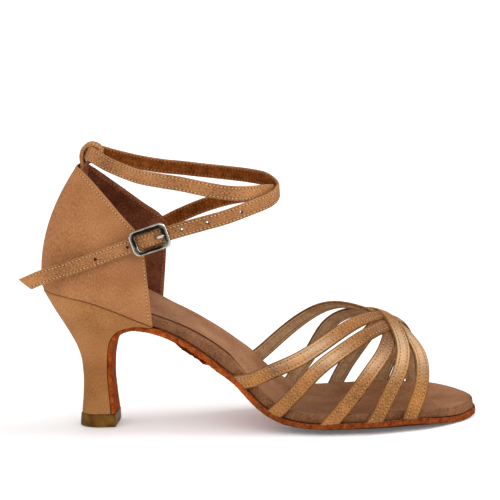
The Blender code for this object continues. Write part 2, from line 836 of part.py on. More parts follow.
def flat_shape(name, outlines, thickness, group, chamfer=0.0):
    """A flat outline with holes, given a thickness, as a filled two-dimensional curve."""
    curve = bpy.data.curves.new(name, "CURVE")
    curve.dimensions = "2D"
    curve.fill_mode = "BOTH"
    curve.extrude = (thickness / 2 - chamfer) * SCALE
    curve.bevel_depth = chamfer * SCALE
    curve.bevel_resolution = 0
    curve.offset = -chamfer * SCALE
    for outline in outlines:
        spline = curve.splines.new("POLY")
        spline.points.add(len(outline) - 1)
        for point, place in zip(spline.points, outline):
            point.co = (place.x * SCALE, place.y * SCALE, 0.0, 1.0)
        spline.use_cyclic_u = True
    item = bpy.data.objects.new(name, curve)
    group.objects.link(item)
    return item


def make_strap_loop(group):
    outer = [Vector((p.x, p.y, 0.0)) for p in LOOP_OUTLINE]
    smooth = route_points(outer, 44)[0]
    hole = []
    for k in range(24):
        angle = 2 * math.pi * k / 24
        power = 2 / LOOP_HOLE_POWER
        c, s = math.cos(angle), math.sin(angle)
        hole.append(Vector((
            LOOP_HOLE_MIDDLE.x + LOOP_HOLE_HALF.x * math.copysign(abs(c) ** power, c),
            LOOP_HOLE_MIDDLE.y + LOOP_HOLE_HALF.y * math.copysign(abs(s) ** power, s))))
    item = flat_shape("strap_loop", [smooth, hole], LOOP_WIDTH, group)
    item.matrix_world = Matrix.Translation(to_metres((0, 0, 0))) @ Matrix.Rotation(math.radians(90), 4, "X")
    bpy.context.view_layer.update()
    return evaluated_copy(item, "strap_loop", group)


def strap_place():
    """Middle, forward, up and outward directions of the ankle strap at the buckle."""
    centres, tangents = route_points(list(ANKLE_ROUTE), ANKLE_STATIONS)
    index = max(k for k in range(ANKLE_STATIONS) if centres[k].x >= BUCKLE_X)
    share = (centres[index].x - BUCKLE_X) / (centres[index].x - centres[index + 1].x)
    middle = centres[index].lerp(centres[index + 1], share)
    forward = -tangents[index].lerp(tangents[index + 1], share).normalized()
    outward = forward.cross(Vector((0.0, 0.0, 1.0))).normalized()
    up = outward.cross(forward).normalized()
    return middle, forward, up, outward


def buckle_matrix():
    """Carries forward, up and outward sizes in metres to the buckle's place."""
    middle, forward, up, outward = strap_place()
    turn = Matrix((forward, up, outward)).transposed().to_4x4()
    return Matrix.Translation(to_metres(middle)) @ turn


def wire(name, points, diameter, closed, group):
    """A round wire along points in the buckle's own sizes."""
    curve = bpy.data.curves.new(name, "CURVE")
    curve.dimensions = "3D"
    curve.bevel_depth = diameter / 2 * SCALE
    curve.bevel_resolution = 1
    curve.use_fill_caps = True
    spline = curve.splines.new("POLY")
    spline.points.add(len(points) - 1)
    for point, place in zip(spline.points, points):
        point.co = (*(place * SCALE), 1.0)
    spline.use_cyclic_u = closed
    item = bpy.data.objects.new(name, curve)
    item.matrix_world = buckle_matrix()
    group.objects.link(item)
    bpy.context.view_layer.update()
    return evaluated_copy(item, name, group)


RING_OUT = (ANKLE_STRAP_GAUGE + BUCKLE_GAUGE) / 2 + GAP
BAR_IN = -(ANKLE_STRAP_GAUGE / 2 + GAP + TAB_GAUGE + GAP + BAR_WIRE / 2)
RAIL = (BUCKLE_HEIGHT + WINDOW_HEIGHT) / 4


def rounded_box(length, height, corner):
    """Outline of a rectangle with round corners, about its middle."""
    outline = []
    for quarter, (sx, sy) in enumerate(((1, 1), (-1, 1), (-1, -1), (1, -1))):
        middle = Vector((sx * (length / 2 - corner), sy * (height / 2 - corner)))
        for k in range(5):
            angle = math.radians(90 * quarter + 22.5 * k)
            outline.append(middle + Vector((math.cos(angle), math.sin(angle))) * corner)
    return outline


def make_buckle_frame(group, cutters):
    """A rounded frame over the strap, broad at its ends, and a bar that dips under the strap."""
    outer = rounded_box(BUCKLE_LENGTH, BUCKLE_HEIGHT, BUCKLE_CORNER)
    window = rounded_box(WINDOW_LENGTH, WINDOW_HEIGHT, WINDOW_CORNER)
    flat = flat_shape("buckle_frame", [outer, window], BUCKLE_GAUGE, group, BUCKLE_CHAMFER)
    flat.matrix_world = buckle_matrix() @ Matrix.Translation(Vector((0.0, 0.0, RING_OUT)) * SCALE)
    bpy.context.view_layer.update()
    frame = evaluated_copy(flat, "buckle_frame", group)
    dip = [
        Vector((0.0, RAIL, RING_OUT)),
        Vector((0.0, RAIL, BAR_IN + BAR_TURN)),
        Vector((0.0, RAIL - BAR_TURN, BAR_IN)),
    ]
    back = [Vector((p.x, -p.y, p.z)) for p in reversed(dip)]
    bar = wire("buckle_bar", dip + back, BAR_WIRE, False, cutters)
    hide_tool(bar)
    boolean(frame, bar, "UNION")
    return frame


def make_buckle_prong(group):
    """The prong hooks round the bar, comes up through the strap and rests on the front rail."""
    hook = (BAR_WIRE + PRONG_WIRE) / 2 + GAP
    rest = RING_OUT + (BUCKLE_GAUGE + PRONG_WIRE) / 2 + GAP
    rail = WINDOW_LENGTH / 2
    points = []
    for degrees in (250, 210, 170, 130, 95):
        angle = math.radians(degrees)
        points.append(Vector((hook * math.cos(angle), 0.0, BAR_IN + hook * math.sin(angle))))
    points += [
        Vector((STRAP_SLOT_FORWARD, 0.0, BAR_IN + hook + PRONG_WIRE * 0.8)),
        Vector((STRAP_SLOT_FORWARD + STRAP_SLOT / 2, 0.0, RING_OUT)),
        Vector((rail - PRONG_WIRE, 0.0, rest)),
        Vector((rail + (BUCKLE_LENGTH - WINDOW_LENGTH) / 4 + PRONG_OVERHANG, 0.0, rest)),
    ]
    return wire("buckle_prong", points, PRONG_WIRE, False, group)


def make_buckle_tab(group, cutters):
    """A folded tab that holds the bar and is sewn on the outer quarter's corner."""
    outer = BAR_WIRE / 2 + GAP + TAB_GAUGE
    low = BAR_IN - TAB_GAUGE
    outline = [Vector((-TAB_REACH, low))]
    for degrees in range(-154, 155, 22):
        angle = math.radians(degrees)
        outline.append(Vector((outer * math.cos(angle), BAR_IN + outer * math.sin(angle))))
    outline += [Vector((-TAB_REACH, low + TAB_GAUGE))]
    hole = []
    for k in range(12):
        angle = math.radians(30 * k)
        hole.append(Vector((math.cos(angle), math.sin(angle))) * (BAR_WIRE / 2 + GAP) + Vector((0.0, BAR_IN)))
    flat = flat_shape("buckle_tab", [outline, hole], TAB_WIDTH, cutters)
    stand = Matrix.Rotation(math.radians(90), 4, "X")
    flat.matrix_world = buckle_matrix() @ stand
    bpy.context.view_layer.update()
    tab = evaluated_copy(flat, "buckle_tab", group)
    size = (3 * outer, PRONG_SLOT, 3 * outer)
    boolean(tab, block("cut_tab_slot", (0.0, 0.0, BAR_IN), size, cutters), "DIFFERENCE")
    return tab


def block(name, middle, size, cutters):
    """A cutter box in the buckle's own sizes."""
    bm = bmesh.new()
    bmesh.ops.create_cube(bm, size=1.0)
    for vert in bm.verts:
        vert.co = Vector([m + c * s for m, c, s in zip(middle, vert.co, size)]) * SCALE
    bmesh.ops.triangulate(bm, faces=bm.faces)
    mesh = bpy.data.meshes.new(name)
    bm.to_mesh(mesh)
    bm.free()
    item = bpy.data.objects.new(name, mesh)
    item.matrix_world = buckle_matrix()
    cutters.objects.link(item)
    hide_tool(item)
    return item


def main():
    clear_scene()
    shoe = make_collection("dance_shoe")
    cutters = make_collection("cutters")
    finish = {name: make_material(name) for name in FINISHES}
    pieces = [
        dress(make_outsole(shoe), finish["suede_rust"]),
        dress(make_insole(shoe), finish["lining_taupe"]),
        dress(make_sock(shoe), finish["lining_taupe"]),
        dress(make_heel(shoe), finish["satin_tan"]),
        dress(make_heel_tip(shoe), finish["tip_plastic"]),
        dress(make_counter(shoe), finish["satin_tan"]),
        dress(make_strap_loop(shoe), finish["satin_tan"]),
        dress(make_vamp_straps(shoe, cutters), finish["satin_tan"]),
        dress(make_ankle_strap(shoe, cutters), finish["satin_tan"]),
        dress(make_buckle_frame(shoe, cutters), finish["buckle_nickel"]),
        dress(make_buckle_prong(shoe), finish["buckle_nickel"]),
        dress(make_buckle_tab(shoe, cutters), finish["satin_tan"]),
    ]
    base = bpy.data.objects.new("shoe_origin", None)
    shoe.objects.link(base)
    for piece in pieces:
        piece.parent = base


main()
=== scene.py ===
# Looks of the dance sandal: satin upper with stitched folded edges, suede sole, covered
# heel, soft insole and an aged nickel buckle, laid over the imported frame.
#
# Shapes are worked out in millimetres in the shoe's own frame, as in the part's source:
# x from the back of the heel to the toe, y from the outer side to the inner side, z up.

import bisect
import bmesh
import bpy
import json
import math
from collections import namedtuple
from mathutils import Matrix, Vector, noise

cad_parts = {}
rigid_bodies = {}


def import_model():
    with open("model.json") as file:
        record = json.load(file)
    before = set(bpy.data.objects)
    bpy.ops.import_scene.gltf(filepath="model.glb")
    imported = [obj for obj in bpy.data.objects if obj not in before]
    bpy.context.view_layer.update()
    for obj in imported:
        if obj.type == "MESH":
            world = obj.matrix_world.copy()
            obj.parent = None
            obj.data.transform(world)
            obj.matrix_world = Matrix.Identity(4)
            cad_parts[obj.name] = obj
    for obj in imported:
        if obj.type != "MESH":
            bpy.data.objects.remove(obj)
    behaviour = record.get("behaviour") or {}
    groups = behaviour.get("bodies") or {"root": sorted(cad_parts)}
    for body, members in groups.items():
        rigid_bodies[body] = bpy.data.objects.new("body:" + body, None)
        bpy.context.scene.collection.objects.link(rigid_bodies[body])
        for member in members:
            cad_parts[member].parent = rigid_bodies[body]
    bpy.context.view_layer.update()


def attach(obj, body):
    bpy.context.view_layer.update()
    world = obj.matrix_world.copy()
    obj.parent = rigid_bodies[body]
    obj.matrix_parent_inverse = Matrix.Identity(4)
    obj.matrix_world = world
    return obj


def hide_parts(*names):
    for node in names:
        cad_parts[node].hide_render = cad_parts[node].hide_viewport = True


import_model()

# Sizes of the shoe, in millimetres; some are a little off those in the part's source
LENGTH = 228.8
BALL_WIDTH = 74.5
HEEL_RISE = 74.3
INSTEP = 62.0
OUTSOLE = 3.0
WAIST_DROP = 1.3
WAIST_SWELL = 0.3
FRINGE = 1.0
FLAP = 2.1
FLAP_BEND = 4.0
INSOLE = 5.0
SOCK = 0.9
COUNTER_WALL = 1.6
TIP_HEIGHT = 7.0
GAP = 0.3
SEAT_END = 62.5
SEAT_BACK = 77.3
SEAT_FRONT = 58.2
BACK_ROUND = 24.0
TOE_ROUND = 30.0
EDGE_LIFT = 2.4
TOE_ROLL = 0.75
INSOLE_INSET = 2.3
TOE_INSET = 0.9
SOCK_MARGIN = 0.7
SOCK_WAIST = 3.2
SOCK_FORE = 0.8
SOCK_SUNK = 0.12
SKIVED = 0.22
STRAP_INSET = 1.1
DOME_POWER = 2.2
HEEL_ROUND = 0.62
BLUNT = 0.12
MM = 0.001
MIDDLE_OF_FOOTPRINT = Vector((111.46, 0.08, 0.0))

# Stretches along the shoe, in millimetres, over which a form comes in or goes out
FOREPART_COMES = (112.0, 145.0)
ROLL_COMES = (122.0, 182.0)
ROLL_GOES = (194.0, 224.0)
WAIST_COMES = (66.0, 94.0)
WAIST_GOES = (97.0, 108.0)
TEAR_COMES = (75.0, 78.0)
TEAR_GOES = (90.0, 94.0)
SOCK_WAIST_COMES = (40.0, 66.0)
SOCK_WAIST_GOES = (95.0, 107.0)
SKIVING_COMES = (98.0, 112.0)
TOE_INSET_COMES = (195.0, 222.0)
# Share of the sole's half width over which the torn fringe comes, on the outer side only
TEAR_SIDE = (0.2, 0.9)
# Where painted shade starts on the sole's edge and on its underside; the underside's start wanders
EDGE_SHADE_START = 116.0
UNDERSIDE_SHADE_START = 128.0
UNDERSIDE_SHADE_WANDER = 16.0
# Nap of the cut edge, and how much more where it is loose; the fringe has painted shade below a share
NAP = 0.30
LOOSE_NAP = 0.45
FLAP_LOOSE = 0.3
FRINGE_SHARE = 0.40
# Where the painted shade along the sock's cut edge ends
SOCK_EDGE_END = 103.0
# How far covers are drawn in at a seam
HEEL_TUCK = 0.55
TIP_TUCK = 0.30
COUNTER_TUCK = 0.55
COUNTER_TUCK_REACH = 1.6


def table(columns, *rows):
    """Rows of numbers with named columns, the first of them the place along the table."""
    row_form = namedtuple("Row", columns)
    return [row_form(*row) for row in rows]


def route(*rows):
    """Rows of three numbers as points."""
    return [Vector(row) for row in rows]


# The last: share of LENGTH, rise as a share of HEEL_RISE, half widths of BALL_WIDTH
LAST = table(
    "along rise lateral medial",
    (0.00, 1.000, 0.315, 0.315), (0.05, 0.988, 0.338, 0.338), (0.11, 0.954, 0.356, 0.356),
    (0.17, 0.890, 0.366, 0.362), (0.23, 0.805, 0.356, 0.342), (0.28, 0.732, 0.336, 0.315),
    (0.33, 0.657, 0.317, 0.290), (0.37, 0.583, 0.311, 0.279), (0.41, 0.495, 0.319, 0.282),
    (0.45, 0.386, 0.340, 0.299), (0.48, 0.284, 0.361, 0.322), (0.51, 0.182, 0.385, 0.349),
    (0.54, 0.106, 0.409, 0.380), (0.58, 0.042, 0.439, 0.420), (0.63, 0.008, 0.472, 0.467),
    (0.68, 0.000, 0.497, 0.499), (0.76, 0.000, 0.499, 0.501), (0.87, 0.000, 0.423, 0.450),
    (0.93, 0.004, 0.364, 0.424), (0.97, 0.008, 0.322, 0.408), (1.00, 0.016, 0.295, 0.396),
)

# Height of the last over the insole, as a share of INSTEP
CROWN = table(
    "along crown",
    (0.45, 1.000), (0.54, 0.968), (0.58, 0.935), (0.63, 0.887), (0.68, 0.845),
    (0.72, 0.792), (0.76, 0.734), (0.81, 0.656), (0.87, 0.536), (0.93, 0.400),
)

# The heel from its tip to the seat: back line, breast line, half width at the breast
HEEL = table(
    "step back_x back_z breast_x breast_z half",
    (0.0, 16.4, 7.3, 33.4, 7.3, 8.8), (1.0, 17.8, 17.2, 33.0, 17.0, 7.9),
    (2.0, 18.6, 27.2, 32.7, 26.0, 7.6), (3.0, 18.4, 35.3, 33.1, 34.0, 8.0),
    (4.0, 16.7, 43.3, 34.2, 42.0, 9.5), (5.0, 13.7, 50.3, 36.5, 48.8, 12.0),
    (6.0, 10.1, 57.4, 40.4, 53.5, 15.5), (7.0, 6.5, 64.4, 46.1, 56.9, 19.5),
    (8.0, 2.9, 71.8, 53.9, 58.7, 23.0), (9.0, 0.0, SEAT_BACK, SEAT_END, SEAT_FRONT, 25.0),
)
HEEL_TOP = HEEL[-1].step

# The counter's top edge from the middle of the back to the corner, with the wall's swell
TOPLINE = table(
    "share x y z swell",
    (0.00, 23.5, 0.0, 142.8, 6.8), (0.10, 24.3, 5.0, 142.6, 6.6), (0.18, 28.1, 8.2, 139.8, 6.3),
    (0.40, 39.4, 15.0, 128.6, 5.6), (0.65, 50.2, 21.8, 117.2, 4.2), (0.88, 58.0, 25.8, 108.8, 1.8),
    (1.00, 60.6, 27.0, 103.2, 0.6),
)
# The inner side's corner stands further forward, and its top edge a little higher
MEDIAL_CORNER_SHIFT = Vector((4.9, 0.0, 1.4))
MEDIAL_BASE_SHIFT = 2.2
MEDIAL_RISE = 1.2

# The vamp straps: place along the shoe, turn about the dome of the last, lift over it
VAMP_STRAPS = {
    "first": route(
        (108.2, -97.0, 0.0), (111.8, -90.0, 0.0), (125.2, -74.4, 0.0), (142.2, -60.0, 0.0),
        (155.5, -45.8, 0.2), (167.2, -28.8, 0.9), (179.0, -7.2, 1.7), (184.4, 5.0, 1.7),
        (190.5, 35.0, 1.0), (193.6, 62.0, 0.2), (193.8, 87.0, 0.0), (193.9, 97.0, 0.0),
    ),
    "second": route(
        (126.0, -97.0, 0.0), (129.4, -90.0, 0.0), (138.2, -80.0, 0.0), (150.5, -64.8, 0.0),
        (162.0, -53.0, 0.2), (172.2, -38.8, 0.6), (181.4, -23.2, 1.0), (186.6, -10.0, 1.2),
        (188.5, 20.0, 0.9), (187.3, 50.0, 0.3), (185.8, 64.2, 0.0), (177.0, 88.2, 0.0),
        (175.4, 97.0, 0.0),
    ),
    "third": route(
        (155.9, -97.0, 0.0), (159.6, -90.0, 0.0), (167.8, -81.0, 0.0), (177.2, -63.5, 0.0),
        (183.8, -47.0, 0.0), (186.8, -24.0, 0.0), (186.0, 0.0, 0.0), (180.0, 34.0, 0.0),
        (166.8, 66.2, 0.0), (152.8, 89.0, 0.0), (150.2, 97.0, 0.0),
    ),
    "fourth": route(
        (179.2, -97.0, 0.0), (181.6, -90.0, 0.0), (185.5, -80.8, 0.0), (191.8, -61.5, 0.2),
        (194.0, -41.0, 0.9), (191.5, -23.0, 2.0), (186.0, -4.5, 2.8), (176.5, 20.0, 1.4),
        (164.2, 35.5, 0.5), (150.2, 52.5, 0.0), (138.8, 75.8, 0.0), (128.8, 89.0, 0.0),
        (126.4, 97.0, 0.0),
    ),
    "fifth": route(
        (196.8, -97.0, 0.0), (198.2, -90.0, 0.0), (202.0, -76.2, 0.0), (203.5, -52.2, 0.0),
        (201.5, -30.0, 0.3), (196.2, -16.8, 0.5), (191.8, -5.0, 0.6), (185.0, 5.0, 0.4),
        (178.4, 12.5, 0.3), (172.0, 17.0, 0.3), (165.0, 20.5, 0.5), (157.5, 26.5, 0.3),
        (150.0, 33.0, 0.0), (141.8, 43.8, 0.0), (128.0, 62.8, 0.0), (111.0, 89.2, 0.0),
        (107.8, 97.0, 0.0),
    ),
}
# The straps that lie on top where all five cross
OVER_THE_CROSSING = ("fourth", "fifth")
VAMP_STEPS = 120
# Passes that even out a vamp strap, and how far its ends run on into the sole
EVEN_PASSES = 24
ROOT_REACH = 13.0
ROOT_STEPS = 16
ROOT_SUNK = 0.5
# Height over the sole from which stitches are sewn on the face and on the lining
SEWN_FROM = 1.2
UNDER_SEWN_FROM = 6.5

# The ankle strap's middle line, from the inner quarter to its tail
ANKLE_ROUTE = route(
    (56.4, 28.6, 100.9), (65.3, 29.0, 104.9), (72.6, 28.4, 108.2), (85.3, 25.6, 113.3),
    (98.7, 20.6, 117.6), (109.7, 14.4, 120.3), (120.4, 7.6, 122.4), (127.3, 0.0, 124.2),
    (125.4, -8.4, 125.9), (119.9, -15.6, 126.8), (113.8, -20.3, 127.5), (105.4, -25.0, 129.1),
    (94.0, -28.0, 132.2), (82.2, -28.7, 135.3), (71.1, -26.8, 137.1), (57.9, -21.8, 139.3),
    (42.7, -13.0, 144.1), (33.0, -6.2, 148.5), (29.2, 0.0, 149.1), (33.0, 6.2, 148.3),
    (41.7, 12.0, 144.3), (53.1, 19.0, 139.6), (65.1, 24.8, 136.0), (75.0, 27.4, 134.2),
    (86.1, 28.0, 132.4), (98.8, 25.2, 131.1), (112.2, 18.2, 130.3), (122.9, 9.8, 129.2),
    (129.5, 1.5, 125.8), (129.7, -5.0, 123.8), (126.2, -12.5, 121.8), (116.4, -20.6, 119.3),
    (104.8, -26.4, 116.3), (93.0, -29.4, 113.9), (80.9, -30.9, 111.2), (67.6, -31.2, 107.8),
    (52.4, -31.2, 103.0), (34.4, -30.9, 97.0), (18.7, -29.6, 92.0), (5.8, -27.8, 88.0),
    (-4.5, -26.2, 83.8),
)
ANKLE_STEPS = 420
HOLE_XS = (35.6, 52.8, 82.2, 95.4, 112.6)
HOLE_RADIUS = 0.68
PUNCH_DEPTH = 6.0
TAIL_SLANT = 2.2
TAIL_REACH = 12.0
TAIL_END = 30.0
# The strap leans forward where it is far back and high up, in the loop
LOOP_LEAN = math.radians(28.0)
LEAN_GOES = (30.0, 60.0)
LEAN_COMES = (120.0, 130.0)
BULGE = 1.0
BULGE_REACH = 4.2

# The loop's band, from its root inside the counter, round the ankle strap and back
LOOP_ROUTE = route(
    (24.6, 0.0, 133.6), (25.9, 0.0, 138.6), (26.5, 0.0, 143.0), (26.5, 0.0, 147.6),
    (27.8, 0.0, 151.2), (30.4, 0.0, 153.2), (33.4, 0.0, 153.1), (35.8, 0.0, 151.4),
    (36.6, 0.0, 148.8), (35.4, 0.0, 146.2), (32.6, 0.0, 144.7), (29.9, 0.0, 144.3),
    (28.3, 0.0, 142.6), (27.6, 0.0, 139.5), (26.5, 0.0, 133.0),
)
LOOP_STEPS = 90
# The loop's inner leg shows its lining below this height and before this line
LOOP_LINED_TOP = 145.5
LOOP_LINED_X = 27.4

# Buckle, set on the ankle strap; its section is domed more in front than behind
BUCKLE_X = 65.6
BUCKLE_DOME = 1.25
BUCKLE_BACK = 0.9
BUCKLE_SQUARE = 0.8
STRAP_ROOM = 0.8
BUCKLE_LENGTH = 21.0
BUCKLE_HEIGHT = 13.8
BUCKLE_GAUGE = 2.0
BUCKLE_CORNER = 3.6
WINDOW_LENGTH = 14.2
WINDOW_HEIGHT = 8.8
WINDOW_CORNER = 1.8
BAR_WIRE = 1.4
BAR_TURN = 0.9
PRONG_WIRE = 1.8
PRONG_OVERHANG = -0.3
STRAP_SLOT = 4.6
STRAP_SLOT_FORWARD = 1.5
TAB_GAUGE = 0.8
TAB_WIDTH = 6.0
TAB_REACH = 11.0
# Round the buckle's section, from its outer rim over the crest to the window: how bright its painted
# reflection bands are
BUCKLE_ROUND = 10.0
BUCKLE_REFLECTION_BANDS = ((0.05, 0.60), (0.15, 0.62), (0.21, 0.38), (0.27, 0.30), (0.37, 0.33), (0.42, 0.58),
                (0.46, 0.50), (0.50, 0.28))

# The heel tip: height, back, front and half width of each of its levels
TIP = table(
    "z back front half",
    (0.0, 15.6, 35.5, 9.0), (0.5, 15.2, 35.8, 9.3), (TIP_HEIGHT, 16.0, 36.0, 9.0),
)

# Forms of the sewn straps: width, gauge, soft crown, stitch row's distance from the edge
StrapForm = namedtuple("StrapForm", "width gauge puff row")
VAMP_FORM = StrapForm(8.0, 1.4, 0.30, 2.0)
ANKLE_FORM = StrapForm(7.8, 1.5, 0.15, 1.25)
LOOP_FORM = StrapForm(8.0, 2.2, 0.10, 1.30)
# Steps across a strap's face, round its folded edge and across its lining
FACE_STEPS = 22
FOLD_STEPS = 5
LINING_STEPS = 8
STITCH_PITCH = 2.0
STITCH_LENGTH = 1.45
THREAD = 0.44
PRICK_LENGTH = 0.62
PRICK_WIDTH = 0.46
PRICK_HEIGHT = 0.24
ROW_DIP = 0.16
ROW_HALF = 0.38
HEM = 1.8
HEM_ROLL = 0.22
FOLD_DEPTH = 0.40
FOLD_ROUND = 0.60
# The counter's stitch rows: share where the front rows start, height of the front edges, how
# high the thread lies, and the point that they all face away from
FRONT_ROW_FOOT = 0.06
FRONT_HEIGHT = 46.0
THREAD_LIFT = 0.1
HEEL_CUP_MIDDLE = Vector((38.0, 0.0, 100.0))


# Shared tools

def hex_colour(text):
    """An sRGB hex colour as linear values."""
    parts = [int(text[k:k + 2], 16) / 255 for k in (1, 3, 5)]
    linear = [c / 12.92 if c <= 0.04045 else ((c + 0.055) / 1.055) ** 2.4 for c in parts]
    return (*linear, 1.0)


def grey(level):
    return (level, level, level, 1.0)


def set_inputs(tree, node, values):
    """Gives each named input of a node a value or a link from a socket."""
    for name, value in values.items():
        if isinstance(value, bpy.types.NodeSocket):
            tree.links.new(value, node.inputs[name])
        else:
            node.inputs[name].default_value = value


def add(tree, kind, values=None, **settings):
    """Adds a node: settings name its properties, values are for its inputs."""
    node = tree.nodes.new(kind)
    for name, value in settings.items():
        setattr(node, name, value)
    set_inputs(tree, node, values or {})
    return node


def add_ramp(tree, level, low, dark, high, light):
    """Adds a ramp that goes from one colour at a low level to another at a high one."""
    node = add(tree, "ShaderNodeValToRGB", {"Fac": level})
    for element, place, colour in zip(node.color_ramp.elements, (low, high), (dark, light)):
        element.position = place
        element.color = colour
    return node


def new_material(name):
    """A material, its tree and its shader."""
    material = bpy.data.materials.new(name)
    material.use_nodes = True
    return material, material.node_tree, material.node_tree.nodes["Principled BSDF"]


def mesh_from(bm, name):
    """The mesh of a bmesh, which is used up."""
    mesh = bpy.data.meshes.new(name)
    bm.to_mesh(mesh)
    bm.free()
    return mesh


def put(name, data):
    """A new object in the scene."""
    item = bpy.data.objects.new(name, data)
    bpy.context.scene.collection.objects.link(item)
    return item


def to_metres(point):
    """A point of the shoe's own frame in the frame of the part."""
    return (point - MIDDLE_OF_FOOTPRINT) * MM


CURVES = {}


def curve_of(rows, column):
    """A table's column as places, values and the slopes of a monotone cubic, worked out once."""
    key = (id(rows), column)
    if key not in CURVES:
        xs = [row[0] for row in rows]
        ys = [getattr(row, column) for row in rows]
        rates = [(b - a) / (d - c) for a, b, c, d in zip(ys, ys[1:], xs, xs[1:])]
        slopes = [rates[0]]
        for before, after in zip(rates, rates[1:]):
            slopes.append(0.0 if before * after <= 0 else 2.0 * before * after / (before + after))
        CURVES[key] = (xs, ys, slopes + [rates[-1]])
    return CURVES[key]


def read(rows, column, at):
    """Smooth value of a table's column over its first column."""
    xs, ys, slopes = curve_of(rows, column)
    at = min(max(at, xs[0]), xs[-1])
    index = min(max(bisect.bisect_right(xs, at) - 1, 0), len(xs) - 2)
    span = xs[index + 1] - xs[index]
    t = (at - xs[index]) / span
    start = ys[index] * (1 + 2 * t) * (1 - t) ** 2 + slopes[index] * span * t * (1 - t) ** 2
    end = ys[index + 1] * t * t * (3 - 2 * t) + slopes[index + 1] * span * t * t * (t - 1)
    return start + end


def ease(low, high, at):
    """Nothing up to low, one from high on, and a soft rise between them."""
    t = min(max((at - low) / (high - low), 0.0), 1.0)
    return t * t * (3 - 2 * t)


def rounded(distance, radius):
    """Height share of a quarter round at a distance from its edge."""
    share = min(max(distance / radius, 0.0), 1.0)
    return math.sqrt(share * (2 - share))


def within(comes, goes, at):
    """One between two stretches, rising over the first and falling over the second."""
    return ease(*comes, at) * (1 - ease(*goes, at))


def directions(points):
    """Unit directions along a row of points."""
    last = len(points) - 1
    return [(points[min(k + 1, last)] - points[max(k - 1, 0)]).normalized() for k in range(last + 1)]


def arc_lengths(points):
    """How far along the row each of its points is."""
    lengths = [0.0]
    for a, b in zip(points, points[1:]):
        lengths.append(lengths[-1] + (b - a).length)
    return lengths


def evenly(points, count):
    """The row of points resampled to even steps."""
    lengths = arc_lengths(points)
    out = []
    index = 0
    for k in range(count + 1):
        want = lengths[-1] * k / count
        while index < len(points) - 2 and lengths[index + 1] < want:
            index += 1
        span = lengths[index + 1] - lengths[index]
        out.append(points[index].lerp(points[index + 1], (want - lengths[index]) / span))
    return out


def smooth_route(points, count):
    """Evenly spaced points on a smooth curve through the given points."""
    fine = []
    steps = 12
    for i in range(len(points) - 1):
        before = points[max(i - 1, 0)]
        start, end = points[i], points[i + 1]
        after = points[min(i + 2, len(points) - 1)]
        for k in range(steps):
            t = k / steps
            fine.append(0.5 * (2 * start + (end - before) * t
                               + (2 * before - 5 * start + 4 * end - after) * t ** 2
                               + (3 * start - before - 3 * end + after) * t ** 3))
    fine.append(points[-1].copy())
    return evenly(fine, count)


def lay_grid(columns, rows, place, wide, long):
    """A grid whose point in a column and row goes to place(column, row); its UV map is in cloth sizes.

    Each point keeps its shares of the columns and rows as its spot.
    """
    bm = bmesh.new()
    cloth = bm.loops.layers.uv.new("cloth")
    spot = bm.verts.layers.float_vector.new("spot")
    bmesh.ops.create_grid(bm, x_segments=columns, y_segments=rows, size=0.5)
    for vert in bm.verts:
        vert[spot] = (vert.co.x + 0.5, vert.co.y + 0.5, 0.0)
    for face in bm.faces:
        for loop in face.loops:
            u, v, _ = loop.vert[spot]
            loop[cloth].uv = (u * wide * MM, v * long * MM)
    for vert in bm.verts:
        vert.co = place(round(vert[spot].x * columns), round(vert[spot].y * rows))
    return bm, spot


def mean_spot(face, spot):
    """The middle of a face in its grid's shares."""
    return sum((vert[spot] for vert in face.verts), Vector((0.0, 0.0, 0.0))) / len(face.verts)


def close_seams(bm, reach=0.01):
    """Welds the grid's meeting edges and fills the ends that stay open."""
    bmesh.ops.remove_doubles(bm, verts=bm.verts, dist=reach)
    rims = [edge for edge in bm.edges if edge.is_boundary]
    bmesh.ops.holes_fill(bm, edges=rims)
    bmesh.ops.recalc_face_normals(bm, faces=bm.faces)


def soften(bm, degrees, offset, segments):
    """Rounds every edge that is sharper than the given angle."""
    sharp = [edge for edge in bm.edges
             if len(edge.link_faces) == 2 and edge.calc_face_angle() > math.radians(degrees)]
    bmesh.ops.bevel(bm, geom=sharp, offset=offset, offset_type="OFFSET", affect="EDGES",
                    segments=segments, profile=0.5, material=-1, clamp_overlap=True)


def make_piece(name, bm, finishes, nodes=(), sharp=60.0):
    """Makes a mesh in millimetres a piece of the shoe that stands for CAD nodes."""
    for vert in bm.verts:
        vert.co = to_metres(vert.co)
    for mark in list(bm.verts.layers.float_vector.values()):
        bm.verts.layers.float_vector.remove(mark)
    mesh = mesh_from(bm, name)
    mesh.shade_smooth()
    mesh.set_sharp_from_angle(angle=math.radians(sharp))
    for finish in finishes:
        mesh.materials.append(MATERIALS[finish])
    piece = put(name, mesh)
    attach(piece, "root")
    if nodes:
        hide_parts(*nodes)
    return piece


# Finishes

# Where a finish is darker: full within near of its place, nothing past far, in millimetres
Worn = namedtuple("Worn", "place near far amount")
# Darker round the ball of the foot: partly wear, partly the straps' shade painted on the sock
BALL_WEAR_AND_STRAP_SHADE = Worn(Vector((172.0, -4.0, 9.0)), 12.0, 48.0, 0.11)
# Painted shade on the straps' satin round the place where they cross
SHADE_AT_CROSSING = Worn(Vector((184.0, -9.0, 49.0)), 6.0, 30.0, 0.12)
TOP_OF_LINING = Worn(Vector((38.0, 20.0, 125.0)), 10.0, 48.0, 0.07)
Finish = namedtuple("Finish", "dark light across along patch relief rough sheen gloss shine brush worn",
                    defaults=(None, 0.0, None))
